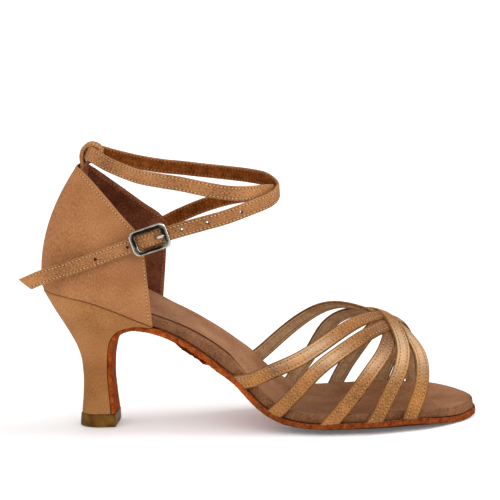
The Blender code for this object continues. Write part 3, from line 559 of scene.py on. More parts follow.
# Each finish has its darkest and lightest tone, the size of its grain across and along, the size
# of its patches, its relief, roughness, sheen and gloss, and for some the gloss's own colour, how
# strongly it is brushed and where it is darkened. Grain sizes are in millimetres; weaves and naps are
# drawn about twice as coarse as the real ones, so that they show at the size of the picture.
FINISHES = {
    # Woven polyester satin over a stiffener: short slubs that run up the counter, soft gloss
    "woven_satin": Finish("#8a5834", "#b37c53", 0.60, 1.20, 18.0, 0.45, 0.60, 0.04, 0.03, "#f0dcc0"),
    # The same satin stretched over the moulded heel: a little deeper in tone
    "heel_satin": Finish("#86562f", "#b07c4d", 0.65, 1.60, 22.0, 0.40, 0.60, 0.03, 0.04, "#f0dcc0"),
    # Glossy satin of the vamp straps: its threads run along the strap, so light lies across it
    "strap_satin": Finish("#4d2c10", "#b8783b", 0.85, 1.30, 18.0, 0.80, 0.65, 0.00, 0.75, "#f5e6c4", 0.86),
    # The same satin on the straps that run under the crossing, with painted shade deepening its tone
    # towards the crossing
    "crossed_satin_painted_shade": Finish("#57280e", "#b8783b", 0.85, 1.30, 18.0, 0.80, 0.65, 0.00, 0.75, "#f5e6c4", 0.86,
                            SHADE_AT_CROSSING),
    # The same satin turned round the strap's edge, across its threads: no gloss, and a darker tone that is
    # painted shade along the edges
    "fold_satin_painted_shade": Finish("#3c220d", "#94602f", 0.85, 1.30, 18.0, 0.80, 0.70, 0.00, 0.08, "#f0dcc0"),
    # Plainer satin of the ankle strap: the same colour, duller
    "ankle_satin": Finish("#613a20", "#be8556", 0.75, 1.20, 26.0, 0.80, 0.60, 0.02, 0.12, "#f0dcc0"),
    # Napped chrome suede of the dance sole: dull, rusty, with a fuzzy cut edge
    "sole_suede": Finish("#531c06", "#bc5c27", 0.65, 0.65, 4.0, 1.00, 0.98, 0.05, 0.05),
    # The sole's cut edge, where the nap stands up: darker than its face, which is painted shade on the
    # forepart's edge, at the toe and under the insole's rim
    "sole_edge_painted_shade": Finish("#40190a", "#9c5026", 0.65, 0.65, 3.0, 1.00, 1.00, 0.05, 0.05),
    # Dark suede: painted shade on the forepart's underside below its rim, and on the lower part of the
    # waist's torn fringe
    "sole_painted_shade": Finish("#280c04", "#6a2c14", 0.65, 0.65, 5.0, 1.00, 1.00, 0.05, 0.05),
    # Soft microfibre of the sock: even, matte, faintly mottled, darker round the ball of the foot, partly
    # from wear and partly as painted shade of the straps
    "sock_microfibre": Finish("#754b31", "#a07455", 0.80, 0.80, 16.0, 0.30, 0.70, 0.05, 0.08, None, 0.0,
                              BALL_WEAR_AND_STRAP_SHADE),
    # The same microfibre turned over the board's edge: duller, and darker as painted shade on the board's
    # side
    "insole_microfibre_painted_shade": Finish("#5a3926", "#8f6346", 0.85, 0.85, 9.0, 0.60, 0.85, 0.03, 0.06),
    # Painted shade along the sock's cut edge, where its thickness shades the insole: dark
    "sock_edge_painted_shade": Finish("#472c1c", "#68442e", 0.60, 0.60, 6.0, 0.30, 0.95, 0.00, 0.05),
    # Dark brown pigskin suede inside the counter, darkest towards its top
    "counter_lining": Finish("#633522", "#965d42", 0.90, 0.90, 8.0, 0.60, 0.90, 0.06, 0.10, None, 0.0,
                             TOP_OF_LINING),
    # Rust-brown suede under the ankle strap
    "strap_suede": Finish("#47200c", "#8e4d21", 0.90, 0.90, 6.0, 0.90, 0.95, 0.04, 0.05),
    # Taupe split leather under the vamp straps
    "vamp_lining": Finish("#9a7555", "#d1ad85", 0.80, 0.80, 6.0, 0.40, 0.80, 0.05, 0.08),
    # Twisted polyester thread, paler than the satin
    "sewing_thread": Finish("#bd925c", "#e2be8b", 0.20, 0.20, 3.0, 0.20, 0.50, 0.00, 0.30),
    # The thread of the vamp straps, sunk in the glossier satin: a deeper gold, which is painted shade where
    # it sinks
    "vamp_thread_painted_shade": Finish("#ad8049", "#d4aa70", 0.20, 0.20, 3.0, 0.20, 0.50, 0.00, 0.30),
    # The same thread drawn down into the lining side: darker, as painted shade
    "lining_thread_painted_shade": Finish("#8a5a32", "#b5814d", 0.20, 0.20, 3.0, 0.20, 0.60, 0.00, 0.20),
    # Painted shade: dark beads for the shadowed prick of the needle beside each stitch, and dark walls for
    # the punched holes
    "needle_prick_painted_shade": Finish("#2b1507", "#472610", 0.30, 0.30, 3.0, 0.10, 0.90, 0.00, 0.05),
}
# What the patches count for beside the grain, the levels between which the tone goes from dark
# to light, and how deep a relief of one is
PATCH_SHARE = 0.35
TONE_LOW = 0.36
TONE_HIGH = 0.64
RELIEF_DEPTH = 0.15


def make_cloth(name):
    """Grain follows the piece's cloth map, broad patches its place; both move the tone."""
    finish, worn = FINISHES[name], FINISHES[name].worn
    material, tree, shader = new_material(name)
    where = add(tree, "ShaderNodeTexCoord")
    source = "Object" if finish.across == finish.along else "UV"
    fine = (1 / (finish.across * MM), 1 / (finish.along * MM), 1 / (finish.across * MM))
    spread = add(tree, "ShaderNodeMapping", {"Vector": where.outputs[source], "Scale": fine})
    grain = add(tree, "ShaderNodeTexNoise",
                {"Vector": spread.outputs["Vector"], "Scale": 1.0, "Detail": 3.0, "Roughness": 0.6})
    patches = add(tree, "ShaderNodeTexNoise",
                  {"Vector": where.outputs["Object"], "Scale": 1 / (finish.patch * MM), "Detail": 2.0})
    share = add(tree, "ShaderNodeMath", {0: patches.outputs["Fac"], 1: PATCH_SHARE}, operation="MULTIPLY")
    blend = add(tree, "ShaderNodeMath",
                {0: grain.outputs["Fac"], 1: 1 - PATCH_SHARE, 2: share.outputs[0]},
                operation="MULTIPLY_ADD")
    if worn:
        away = add(tree, "ShaderNodeVectorMath",
                   {0: where.outputs["Object"], 1: to_metres(worn.place)}, operation="DISTANCE")
        fade = add(tree, "ShaderNodeMapRange",
                   {"Value": away.outputs["Value"], "From Min": worn.near * MM, "From Max": worn.far * MM,
                    "To Min": -worn.amount, "To Max": 0.0}, interpolation_type="SMOOTHSTEP")
        blend = add(tree, "ShaderNodeMath", {0: blend.outputs[0], 1: fade.outputs["Result"]},
                    operation="ADD")
    tone = add_ramp(tree, blend.outputs[0], TONE_LOW, hex_colour(finish.dark),
                    TONE_HIGH, hex_colour(finish.light))
    bump = add(tree, "ShaderNodeBump",
               {"Height": grain.outputs["Fac"], "Strength": finish.relief, "Distance": RELIEF_DEPTH * MM})
    if finish.brush:
        threads = add(tree, "ShaderNodeTangent", direction_type="UV_MAP", uv_map="cloth")
        set_inputs(tree, shader, {"Tangent": threads.outputs["Tangent"], "Anisotropic": finish.brush})
    set_inputs(tree, shader, {
        "Base Color": tone.outputs["Color"],
        "Normal": bump.outputs["Normal"],
        "Roughness": finish.rough,
        "Specular IOR Level": finish.gloss,
        "Specular Tint": hex_colour(finish.shine or finish.light),
        "Sheen Weight": finish.sheen,
        "Sheen Roughness": 0.45,
        "Sheen Tint": hex_colour(finish.light),
    })
    return material


def make_hard(name, dark, light, patch, rough_low, rough_high, metallic):
    """A moulded or cast finish: clouds of tone and of roughness."""
    material, tree, shader = new_material(name)
    where = add(tree, "ShaderNodeTexCoord")
    clouds = add(tree, "ShaderNodeTexNoise",
                 {"Vector": where.outputs["Object"], "Scale": 1 / (patch * MM), "Detail": 4.0})
    level = clouds.outputs["Fac"]
    if metallic:
        level = add_painted_reflections(tree, where, clouds)
    else:
        shader.inputs["Specular IOR Level"].default_value = 0.08
    tone = add_ramp(tree, level, 0.32, hex_colour(dark), 0.66, hex_colour(light))
    rough = add(tree, "ShaderNodeMapRange",
                {"Value": clouds.outputs["Fac"], "To Min": rough_high, "To Max": rough_low})
    set_inputs(tree, shader, {"Base Color": tone.outputs["Color"], "Roughness": rough.outputs["Result"],
                              "Metallic": metallic})
    return material


def add_painted_reflections(tree, where, clouds):
    """Painted reflection bands round the casting's section, bright on its slopes and dark over its crest
    and at the window, with clouds of tone.
    """
    apart = add(tree, "ShaderNodeSeparateXYZ", {"Vector": where.outputs["UV"]})
    round_share = add(tree, "ShaderNodeMath", {0: apart.outputs["X"], 1: 1 / (BUCKLE_ROUND * MM)},
                      operation="MULTIPLY")
    bands = add_ramp(tree, round_share.outputs[0], 0.0, grey(0.40), 1.0, grey(0.45))
    for position, level in BUCKLE_REFLECTION_BANDS:
        bands.color_ramp.elements.new(position).color = grey(level)
    spread = add(tree, "ShaderNodeMath", {0: clouds.outputs["Fac"], 1: 0.5}, operation="SUBTRACT")
    return add(tree, "ShaderNodeMath", {0: spread.outputs[0], 1: 0.45, 2: bands.outputs["Color"]},
               operation="MULTIPLY_ADD").outputs[0]


MATERIALS = {name: make_cloth(name) for name in FINISHES}
# Moulded polyurethane heel tip: smooth, olive brown, with a soft gloss
MATERIALS["tip"] = make_hard("moulded_tip_plastic", "#503211", "#77531d", 6.0, 0.36, 0.48, 0.0)
# Cast zinc with an aged nickel plate, with painted reflection bands round its section
MATERIALS["nickel"] = make_hard("aged_nickel_painted_reflections", "#1b1713", "#c4bdb2", 5.0, 0.12, 0.24, 1.0)


# The last and the bottom

def full_half(x, side):
    """Half width of the last before its ends are rounded."""
    column = "lateral" if side < 0 else "medial"
    return read(LAST, column, x / LENGTH) * BALL_WIDTH


def end_round(x):
    """One along the sides, falling to nothing as an ellipse at the back and the toe."""
    return rounded(x, BACK_ROUND) * rounded(LENGTH - x, TOE_ROUND)


def half_width(x, side):
    """Distance of the sole's edge from the middle line."""
    x = min(max(x, 0.0), LENGTH)
    return full_half(x, side) * end_round(x)


def feather(x):
    """Height of the line where upper and insole meet the outsole or the heel."""
    return OUTSOLE + read(LAST, "rise", x / LENGTH) * HEEL_RISE


def edge_lift(x, y):
    """The forepart's bottom is flat in the middle and rolls up to its edges."""
    half = max(full_half(min(max(x, 0.0), LENGTH), y), 1.0)
    out = max(0.0, (abs(y) / half - 0.5) / 0.5)
    roll = 1 + TOE_ROLL * within(ROLL_COMES, ROLL_GOES, x)
    return EDGE_LIFT * roll * out * out * ease(*FOREPART_COMES, x)


def slope_normal(x):
    step = 0.5
    rise = (feather(x + step) - feather(x - step)) / (2 * step)
    return Vector((-rise, 0.0, 1.0)).normalized()


def over_sole(x, y, height):
    """A point at the given height over the feather line, square to its slope."""
    return Vector((x, y, feather(x) + edge_lift(x, y))) + slope_normal(x) * height


def rim_spot(station, across, inset):
    """Where a station's share across lies when the outline is drawn in by inset all round."""
    x = inset + station * (LENGTH - 2 * inset) / LENGTH
    return x, across * (full_half(station, across) - inset) * end_round(station)


RimSpot = namedtuple("RimSpot", "across inset share offset")


def slab_profile(low_round, high_round, flats=26, turns=5, walls=3):
    """Spots round a layer's section: underside, one rim, top, other rim."""
    shares = [math.sin(math.pi * (k / flats - 0.5)) for k in range(flats + 1)]
    angles = [math.radians(90 * k / turns) for k in range(1, turns)]
    levels = [k / walls for k in range(walls + 1)]
    rim = [(low_round * (1 - math.sin(a)), 0.0, low_round * (1 - math.cos(a))) for a in angles]
    rim += [(0.0, level, low_round * (1 - level) - high_round * level) for level in levels]
    rim += [(high_round * (1 - math.cos(a)), 1.0, high_round * (math.sin(a) - 1)) for a in angles]
    spots = [RimSpot(share, low_round, 0.0, 0.0) for share in shares]
    spots += [RimSpot(1.0, *row) for row in rim]
    spots += [RimSpot(share, high_round, 1.0, 0.0) for share in reversed(shares)]
    spots += [RimSpot(-1.0, *row) for row in reversed(rim)]
    return spots


def sweep_layer(profile, stations, low, thickness, inset_at):
    """A layer of the bottom: the section's spots carried along the stations."""
    columns, rows = len(profile), len(stations) - 1

    def place(column, row):
        spot = profile[column % columns]
        station = stations[row]
        x, y = rim_spot(station, spot.across, inset_at(station) + spot.inset)
        return over_sole(x, y, low(station) + spot.share * thickness(station) + spot.offset)

    bm, _ = lay_grid(columns, rows, place, 2 * BALL_WIDTH, LENGTH)
    close_seams(bm)
    return bm


def crowded(count):
    """Stations from heel to toe that crowd towards both ends, as round ends need."""
    reach = LENGTH - 2 * BLUNT
    return [BLUNT + reach * 0.5 * (1 - math.cos(math.pi * k / count)) for k in range(count + 1)]


def breast_point(step):
    row = Vector((read(HEEL, "breast_x", step), 0.0, read(HEEL, "breast_z", step)))
    return row, read(HEEL, "half", step)


def breast_normal(step):
    """Out of the heel's breast, towards the toe and the floor."""
    before = breast_point(max(step - 0.05, 0.0))[0]
    after = breast_point(min(step + 0.05, HEEL_TOP))[0]
    along = after - before
    return Vector((along.z, 0.0, -along.x)).normalized()


def frayed(point, side, amount):
    """Pushes a cut suede edge in and out by its nap."""
    nap = noise.noise(point * 0.55) + 0.8 * noise.noise(point * 1.7)
    drop = noise.noise(point * 0.8 + Vector((40.0, 0.0, 0.0))) + 0.7 * noise.noise(point * 2.1)
    return point + Vector((0.0, side * amount * nap, 0.5 * amount * drop))


def waist_share(x):
    """One in the waist, where the insole's edge is deepest, falling to nothing at seat and ball."""
    return within(WAIST_COMES, WAIST_GOES, x)


def torn_share(station, across):
    """One where the waist's outer edge has come loose and hangs as a fringe, with painted shade on its
    lower part.
    """
    return within(TEAR_COMES, TEAR_GOES, station) * ease(*TEAR_SIDE, -across)


def make_outsole():
    """Suede sole with a napped edge; its flap runs down the heel's breast."""
    profile = slab_profile(0.5, 0.4, flats=20, turns=3, walls=6)
    columns = len(profile)
    start = SEAT_END + FLAP_BEND
    reach = LENGTH - BLUNT - start
    bottom = 300
    stations = [start + reach * math.sin(0.5 * math.pi * k / bottom) for k in range(bottom, -1, -1)]
    steps = [HEEL_TOP - 0.09 * k for k in range(3, 101)]
    rows = bottom + len(steps)

    def place(column, row):
        spot = profile[column % columns]
        if row <= bottom:
            station = stations[row]
            waist = waist_share(station)
            torn = torn_share(station, spot.across)
            gauge = OUTSOLE + WAIST_SWELL * waist + FRINGE * torn
            x, y = rim_spot(station, spot.across, spot.inset)
            point = over_sole(x, y, (spot.share - 1.0) * gauge + spot.offset - WAIST_DROP * waist)
        else:
            step = steps[row - bottom - 1]
            middle, half = breast_point(step)
            gauge = OUTSOLE + (FLAP - OUTSOLE) * ease(HEEL_TOP, HEEL_TOP - 2, step)
            depth = GAP + gauge * (1 - spot.share) - spot.offset
            point = middle + breast_normal(step) * depth
            point.y = spot.across * (half - spot.inset)
            waist, torn = FLAP_LOOSE, 0.0
        if abs(spot.across) == 1:
            loose = LOOSE_NAP * (waist + torn) * (1 - spot.share)
            point = frayed(point, spot.across, NAP + loose)
        return point

    bm, grid = lay_grid(columns, rows, place, 2 * BALL_WIDTH, LENGTH)
    for face in bm.faces:
        middle = mean_spot(face, grid)
        column, row = int(middle.x * columns), int(middle.y * rows)
        if row >= bottom:
            continue
        station = stations[row]
        spot, after = profile[column], profile[(column + 1) % columns]
        rim = min(abs(spot.across), abs(after.across)) == 1
        upper = min(spot.share, after.share) == 1
        # Painted shade: the forepart's edge and the top face under the insole's rim take the darker edge
        # finish
        if rim or upper:
            # The lower part of the torn fringe takes the darkest painted shade
            fringe = torn_share(station, spot.across) > 0.5 and max(spot.share, after.share) < FRINGE_SHARE
            face.material_index = 2 if fringe else int(station > EDGE_SHADE_START or upper)
        elif station + UNDERSIDE_SHADE_WANDER * noise.noise(face.calc_center_median() * 0.09) > UNDERSIDE_SHADE_START:
            # Painted shade on the forepart's underside, from a wandering start
            face.material_index = 2
    close_seams(bm)
    # The toe's end takes the edge's painted shade too
    for face in bm.faces:
        if face.calc_center_median().x > LENGTH - 2 * BLUNT:
            face.material_index = 1
    make_piece("suede_outsole", bm, ["sole_suede", "sole_edge_painted_shade", "sole_painted_shade"], ["outsole"])


def insole_inset(x):
    """The insole stands back from the sole's rim, least of all at the toe."""
    return INSOLE_INSET + (TOE_INSET - INSOLE_INSET) * ease(*TOE_INSET_COMES, x)


def make_insole():
    """Stiff board with its soft cover turned over a round edge."""
    stations = crowded(150)

    def low(x):
        return GAP - WAIST_DROP * waist_share(x)

    bm = sweep_layer(slab_profile(0.5, 1.2), stations, low, lambda x: GAP + INSOLE - low(x), insole_inset)
    # The whole cover takes the darker microfibre: painted shade on the board's side
    make_piece("covered_insole", bm, ["insole_microfibre_painted_shade"], ["insole"])


def make_sock():
    """Thin lining on the insole: a cut edge along the waist, skived to nothing under the straps."""
    def inset_at(x):
        waist = within(SOCK_WAIST_COMES, SOCK_WAIST_GOES, x)
        return insole_inset(x) + SOCK_FORE + (SOCK_WAIST + SOCK_MARGIN - SOCK_FORE) * waist

    def gauge(x):
        return SKIVED + (SOCK - SKIVED) * (1 - ease(*SKIVING_COMES, x))

    profile = slab_profile(0.1, 0.16)
    stations = crowded(190)
    bm = sweep_layer(profile, stations, lambda x: GAP + INSOLE - SOCK_SUNK, gauge, inset_at)
    # Painted shade: the side faces of the sock's edge along the waist take the dark edge finish
    for face in bm.faces:
        if face.calc_center_median().x < SOCK_EDGE_END and abs(face.normal.y) > 0.6:
            face.material_index = 1
    make_piece("sock_lining", bm, ["sock_microfibre", "sock_edge_painted_shade"], ["sock"])


# The heel

def section_shares(sides=30, across=8):
    """Shares and sides round a heel section: one flank, the breast, the other flank."""
    flank = [0.5 * (1 - math.cos(math.pi * k / sides)) for k in range(sides + 1)]
    loop = [(share, -1.0) for share in flank]
    loop += [(1.0, -1.0 + 2.0 * k / across) for k in range(1, across)]
    loop += [(share, 1.0) for share in reversed(flank[1:])]
    return loop


def make_heel():
    """Moulded heel under its satin cover, drawn in a little at the seam with the counter."""
    loop = section_shares()
    columns, rows = len(loop), 110

    def place(column, row):
        share, side = loop[column % columns]
        step = HEEL_TOP * row / rows
        back = Vector((read(HEEL, "back_x", step), 0.0, read(HEEL, "back_z", step)))
        breast, half = breast_point(step)
        to_seat = ease(HEEL_TOP - 3, HEEL_TOP, step)
        point = back.lerp(breast, share)
        neck_y = half * rounded(share, HEEL_ROUND)
        seat_x = SEAT_END * share
        seat_y = half_width(seat_x, side)
        point.z += to_seat * (feather(seat_x) - (SEAT_BACK + (SEAT_FRONT - SEAT_BACK) * share))
        point.y = side * (neck_y + (seat_y - neck_y) * to_seat)
        tuck = HEEL_TUCK * ease(8.80, HEEL_TOP, step) + TIP_TUCK * (1 - ease(0.0, 0.12, step))
        middle = back.lerp(breast, 0.6)
        inward = Vector((middle.x - point.x, -point.y, 0.0))
        return point + inward.normalized() * tuck

    bm, _ = lay_grid(columns, rows, place, 110.0, 76.0)
    close_seams(bm)
    make_piece("covered_heel", bm, ["heel_satin"], ["heel"])


def make_heel_tip():
    """Moulded tip with rounded rims."""
    loop = section_shares()
    levels = ((0.0, 0.8), (0.15, 0.35), (0.5, 0.0), (2.5, 0.0), (4.5, 0.0), (TIP_HEIGHT - 0.4, 0.0),
              (TIP_HEIGHT - 0.12, 0.12), (TIP_HEIGHT, 0.4))
    columns, rows = len(loop), len(levels) - 1

    def place(column, row):
        share, side = loop[column % columns]
        z, inset = levels[row]
        back = read(TIP, "back", z) + inset
        front = read(TIP, "front", z) - inset
        half = read(TIP, "half", z) - inset
        return Vector((back + (front - back) * share, side * half * rounded(share, HEEL_ROUND), z))

    bm, _ = lay_grid(columns, rows, place, 60.0, TIP_HEIGHT)
    close_seams(bm)
    soften(bm, 40.0, 0.5, 3)
    make_piece("moulded_tip", bm, ["tip"], ["heel_tip"], 35.0)


# The counter

def seat_curve():
    """Points of the seat's edge from the middle of the back to its front, with arc shares."""
    points = [Vector((SEAT_END * (k / 600) ** 2, 0.0, 0.0)) for k in range(601)]
    for point in points:
        point.y = half_width(point.x, -1.0)
    lengths = arc_lengths(points)
    return points, [length / lengths[-1] for length in lengths], lengths[-1]


SEAT_POINTS, SEAT_SHARES, SEAT_ARC = seat_curve()


def counter_base(reach):
    """The seat's edge at an arc share, and the way out of it."""
    index = min(max(bisect.bisect_left(SEAT_SHARES, reach), 1), len(SEAT_SHARES) - 1)
    before, after = SEAT_POINTS[index - 1], SEAT_POINTS[index]
    share = (reach - SEAT_SHARES[index - 1]) / (SEAT_SHARES[index] - SEAT_SHARES[index - 1])
    along = (after - before).normalized()
    return before.lerp(after, share), Vector((-along.y, along.x, 0.0))


def counter_lines(share):
    """The counter's foot, its top and its swell at a share from -1 (outer front) to 1."""
    side = -1.0 if share < 0 else 1.0
    reach = min(abs(share), 1.0)
    spot, out = counter_base(reach)
    x = spot.x
    top = Vector((read(TOPLINE, "x", reach), side * read(TOPLINE, "y", reach), read(TOPLINE, "z", reach)))
    if side > 0:
        x -= MEDIAL_BASE_SHIFT * reach * reach
        top += MEDIAL_CORNER_SHIFT * reach * reach
        top.z += MEDIAL_RISE * within((0.05, 0.16), (0.40, 0.85), reach)
    foot = Vector((x, side * half_width(x, side), feather(x) + GAP))
    return foot, top, Vector((out.x, side * out.y, 0.0)) * read(TOPLINE, "swell", reach)


def hem_relief(distance):
    """Height of the folded edge: a round rim, a soft roll, then the dip of the stitch row."""
    roll = HEM_ROLL * (1 - ease(HEM - 1.4, HEM + 1.2, distance))
    rim = FOLD_DEPTH * (1 - rounded(distance, FOLD_ROUND))
    return roll - rim - ROW_DIP * math.exp(-((distance - HEM) / ROW_HALF) ** 2)


def hem_distance(share, height, tall):
    """Distance from the counter's top edge or its front edges, whichever is nearer."""
    wide = SEAT_ARC * (1 - 0.2 * height)
    return min((1 - height) * tall, (1 - abs(share)) * wide)


# Soft wrinkles of the counter: share, height, half length along, half width, depth
CREASES = table(
    "share height reach width depth",
    (-0.36, 0.42, 0.10, 0.030, 0.16), (-0.62, 0.30, 0.09, 0.035, 0.18), (-0.80, 0.55, 0.06, 0.030, 0.14),
    (0.45, 0.40, 0.10, 0.030, 0.16), (0.72, 0.34, 0.08, 0.035, 0.16),
)


def counter_spot(share, height):
    """The counter's outer face with its hem, its soft wrinkles and its drawn-in foot."""
    foot, top, swell = counter_lines(share)
    point = foot.lerp(top, height) + swell * (4.0 * height * (1 - height))
    tall = (top - foot).length
    lift = hem_relief(hem_distance(share, height, tall)) if height > 0.04 else 0.0
    lift -= COUNTER_TUCK * (1 - ease(0.0, COUNTER_TUCK_REACH, height * tall)) ** 2
    for crease in CREASES:
        along = (share - crease.share) / crease.reach
        across = (height - crease.height - 0.25 * (share - crease.share)) / crease.width
        lift -= crease.depth * math.exp(-along * along - across * across)
    return point + swell.normalized() * lift


def make_counter():
    """Closed back of the upper: satin outside and suede inside, which meet at the folded edge."""
    columns, rows = 190, 80
    shares = [math.sin(math.pi * (k / columns - 0.5)) for k in range(columns + 1)]
    heights = [math.sin(0.5 * math.pi * k / rows) for k in range(rows + 1)]
    skin = [[counter_spot(share, height) for height in heights] for share in shares]
    around = 2 * rows + 2

    def inner_spot(i, j):
        across = skin[min(i + 1, columns)][j] - skin[max(i - 1, 0)][j]
        upward = skin[i][min(j + 1, rows)] - skin[i][max(j - 1, 0)]
        foot, top, _ = counter_lines(shares[i])
        away = hem_distance(shares[i], heights[j], (top - foot).length)
        inward = across.cross(upward).normalized()
        return skin[i][j] + inward * (COUNTER_WALL * rounded(away, COUNTER_WALL))

    def place(column, row):
        row %= around
        return skin[column][row] if row <= rows else inner_spot(column, around - 1 - row)

    bm, spot = lay_grid(columns, around, place, 2 * SEAT_ARC, 124.0)
    for face in bm.faces:
        face.material_index = 0 if mean_spot(face, spot).y * around < rows else 1
    close_seams(bm, 0.004)
    make_piece("satin_counter", bm, ["woven_satin", "counter_lining"], ["counter"])


# The straps

def strap_profile(form):
    """Spots (across, up) round a strap's section: face, folded edge, lining, other edge."""
    tops, turns, unders = FACE_STEPS, FOLD_STEPS, LINING_STEPS
    half, edge = form.width / 2 - form.gauge / 2, form.gauge / 2
    face = []
    for k in range(tops + 1):
        a = half * math.sin(math.pi * (k / tops - 0.5))
        dip = ROW_DIP * math.exp(-((form.width / 2 - form.row - abs(a)) / ROW_HALF) ** 2)
        face.append((a, edge + form.puff * (1 - (a / half) ** 2) - dip))
    fold = []
    for k in range(1, turns):
        angle = math.radians(90 - 180 * k / turns)
        fold.append((half + edge * math.cos(angle), edge * math.sin(angle)))
    under = [(half - 2 * half * k / unders, -edge) for k in range(unders + 1)]
    return face + fold + under + [(-a, h) for a, h in reversed(fold)], (tops + turns, tops + turns + unders)


def strap_mesh(form, centres, outs, depth=None, fold=0):
    """A folded strap along its middle line, its face towards outs; the lining is finish 1.

    The folded edges have the finish numbered by fold. Where depth is given, each thread of the
    strap ends where its depth comes to nothing.
    """
    forward = directions(centres)
    sides = [ahead.cross(out).normalized() for ahead, out in zip(forward, outs)]
    profile, lining = strap_profile(form)
    columns, rows = len(profile), len(centres) - 1

    def spot_at(column, station):
        k = min(max(int(station), 0), rows - 1)
        a, h = profile[column]
        low = centres[k] + sides[k] * a + outs[k] * h
        high = centres[k + 1] + sides[k + 1] * a + outs[k + 1] * h
        return low.lerp(high, station - k)

    def trimmed(column, stations):
        """Station where the thread first comes clear, going along the stations."""
        before = None
        for station in stations:
            clear = depth(spot_at(column, station))
            if clear > 0:
                if before is None:
                    return float(station)
                share = -before[1] / (clear - before[1])
                return before[0] + (station - before[0]) * share
            before = (station, clear)
        return float(station)

    ends = [(0.0, float(rows))] * columns
    if depth:
        half = rows // 2
        ends = [(trimmed(column, range(half)), trimmed(column, range(rows, half, -1)))
                for column in range(columns)]

    def place(column, row):
        column %= columns
        start, end = ends[column]
        v = row / rows
        return spot_at(column, row + start * (1 - v) ** 5 - (rows - end) * v ** 5)

    bm, spot = lay_grid(columns, rows, place, 2 * (form.width + form.gauge), arc_lengths(centres)[-1])
    for face in bm.faces:
        column = int(mean_spot(face, spot).x * columns)
        if lining[0] <= column < lining[1]:
            face.material_index = 1
        elif column >= FACE_STEPS:
            face.material_index = fold
    close_seams(bm)
    return bm


def relaxed(points, passes):
    """The row of points with its small bends evened out; its ends stay."""
    for _ in range(passes):
        inner = [(a + 2 * b + c) / 4 for a, b, c in zip(points, points[1:], points[2:])]
        points = [points[0]] + inner + [points[-1]]
    return points


def run_on(centres, outs):
    """The strap's middle line with both ends run straight on into the sole."""
    forward = directions(centres)
    reaches = [ROOT_REACH * k / ROOT_STEPS for k in range(1, ROOT_STEPS + 1)]
    head = [centres[0] - forward[1] * reach for reach in reversed(reaches)]
    tail = [centres[-1] + forward[-2] * reach for reach in reaches]
    return head + centres + tail, [outs[0]] * ROOT_STEPS + outs + [outs[-1]] * ROOT_STEPS


def stitch_rows(form, centres, outs, start=2.0, end=2.0, under=False):
    """Places of the stitches of a strap's two rows: middle, forward and out."""
    forward = directions(centres)
    offset = form.width / 2 - form.row
    rise = form.gauge / 2 + form.puff * (1 - (2 * offset / form.width) ** 2) - 0.5 * ROW_DIP
    faces = outs
    if under:
        rise = -form.gauge / 2
        faces = [-out for out in outs]
    places = []
    for side in (-1.0, 1.0):
        line = []
        for k, centre in enumerate(centres):
            across = forward[k].cross(outs[k]).normalized()
            line.append(centre + across * (side * offset) + outs[k] * rise)
        places += stitch_line(line, faces, start, end)
    return places


def stitch_line(line, outs, start, end):
    """Stitch places at even steps along a line of points."""
    lengths = arc_lengths(line)
    places = []
    at = start
    index = 0
    while at < lengths[-1] - end:
        while lengths[index + 1] < at:
            index += 1
        share = (at - lengths[index]) / (lengths[index + 1] - lengths[index])
        spot = line[index].lerp(line[index + 1], share)
        ahead = (line[index + 1] - line[index]).normalized()
        places.append((spot, ahead, outs[index].lerp(outs[index + 1], share).normalized()))
        at += STITCH_PITCH
    return places


def bead(length, width, height):
    """A small round bead about the origin."""
    bm = bmesh.new()
    size = Matrix.Diagonal((length, width, height, 1.0))
    bmesh.ops.create_uvsphere(bm, u_segments=6, v_segments=4, radius=0.5, matrix=size)
    return mesh_from(bm, "bead")


def sew(name, places, thread_finish):
    """Thread bulging between two needle pricks, once for each place; the pricks are dark beads of painted
    shade.
    """
    thread = bead(STITCH_LENGTH, THREAD, THREAD)
    prick = bead(PRICK_LENGTH, PRICK_WIDTH, PRICK_HEIGHT)
    bm = bmesh.new()
    for finish, (mesh, shift) in enumerate(((thread, 0.0), (prick, STITCH_PITCH / 2))):
        for spot, ahead, out in places:
            turn = Matrix((ahead, out.cross(ahead).normalized(), out)).transposed().to_4x4()
            place = Matrix.Translation(spot + ahead * shift) @ turn
            mesh.transform(place)
            bm.from_mesh(mesh)
            mesh.transform(place.inverted())
        if finish == 0:
            threads = len(bm.faces)
    bm.faces.ensure_lookup_table()
    for face in bm.faces[threads:]:
        face.material_index = 1
    bpy.data.meshes.remove(thread)
    bpy.data.meshes.remove(prick)
    make_piece(name, bm, [thread_finish, "needle_prick_painted_shade"])


def dome_point(x, turn, lift):
    """A point on the last over the forepart; past 90 degrees it runs down beside the insole."""
    side = -1.0 if turn < 0 else 1.0
    half = half_width(x, side) - STRAP_INSET
    foot = feather(x) + edge_lift(x, side * half) + GAP + INSOLE
    if abs(turn) > 90.0:
        drop = (abs(turn) - 90.0) / 10.0 * (GAP + INSOLE)
        return Vector((x, side * (half + lift), foot - drop))
    crown = read(CROWN, "crown", x / LENGTH) * INSTEP
    angle = math.radians(abs(turn))
    power = 2.0 / DOME_POWER
    y = half * math.sin(angle) ** power + lift * math.sin(angle)
    z = foot + crown * math.cos(angle) ** power + lift * math.cos(angle)
    return Vector((x, side * y, z))


def dome_normal(x, turn):
    turn = min(max(turn, -89.0), 89.0)
    along = dome_point(x + 0.5, turn, 0.0) - dome_point(x - 0.5, turn, 0.0)
    around = dome_point(x, turn + 1.0, 0.0) - dome_point(x, turn - 1.0, 0.0)
    normal = along.cross(around).normalized()
    return normal if normal.dot(Vector((0.0, dome_point(x, turn, 0.0).y, 30.0))) > 0 else -normal


def over_feather(point):
    """How far a point is clear of the outsole's upper face, less a little that goes into it."""
    return point.z - feather(point.x) - edge_lift(point.x, point.y) + ROOT_SUNK


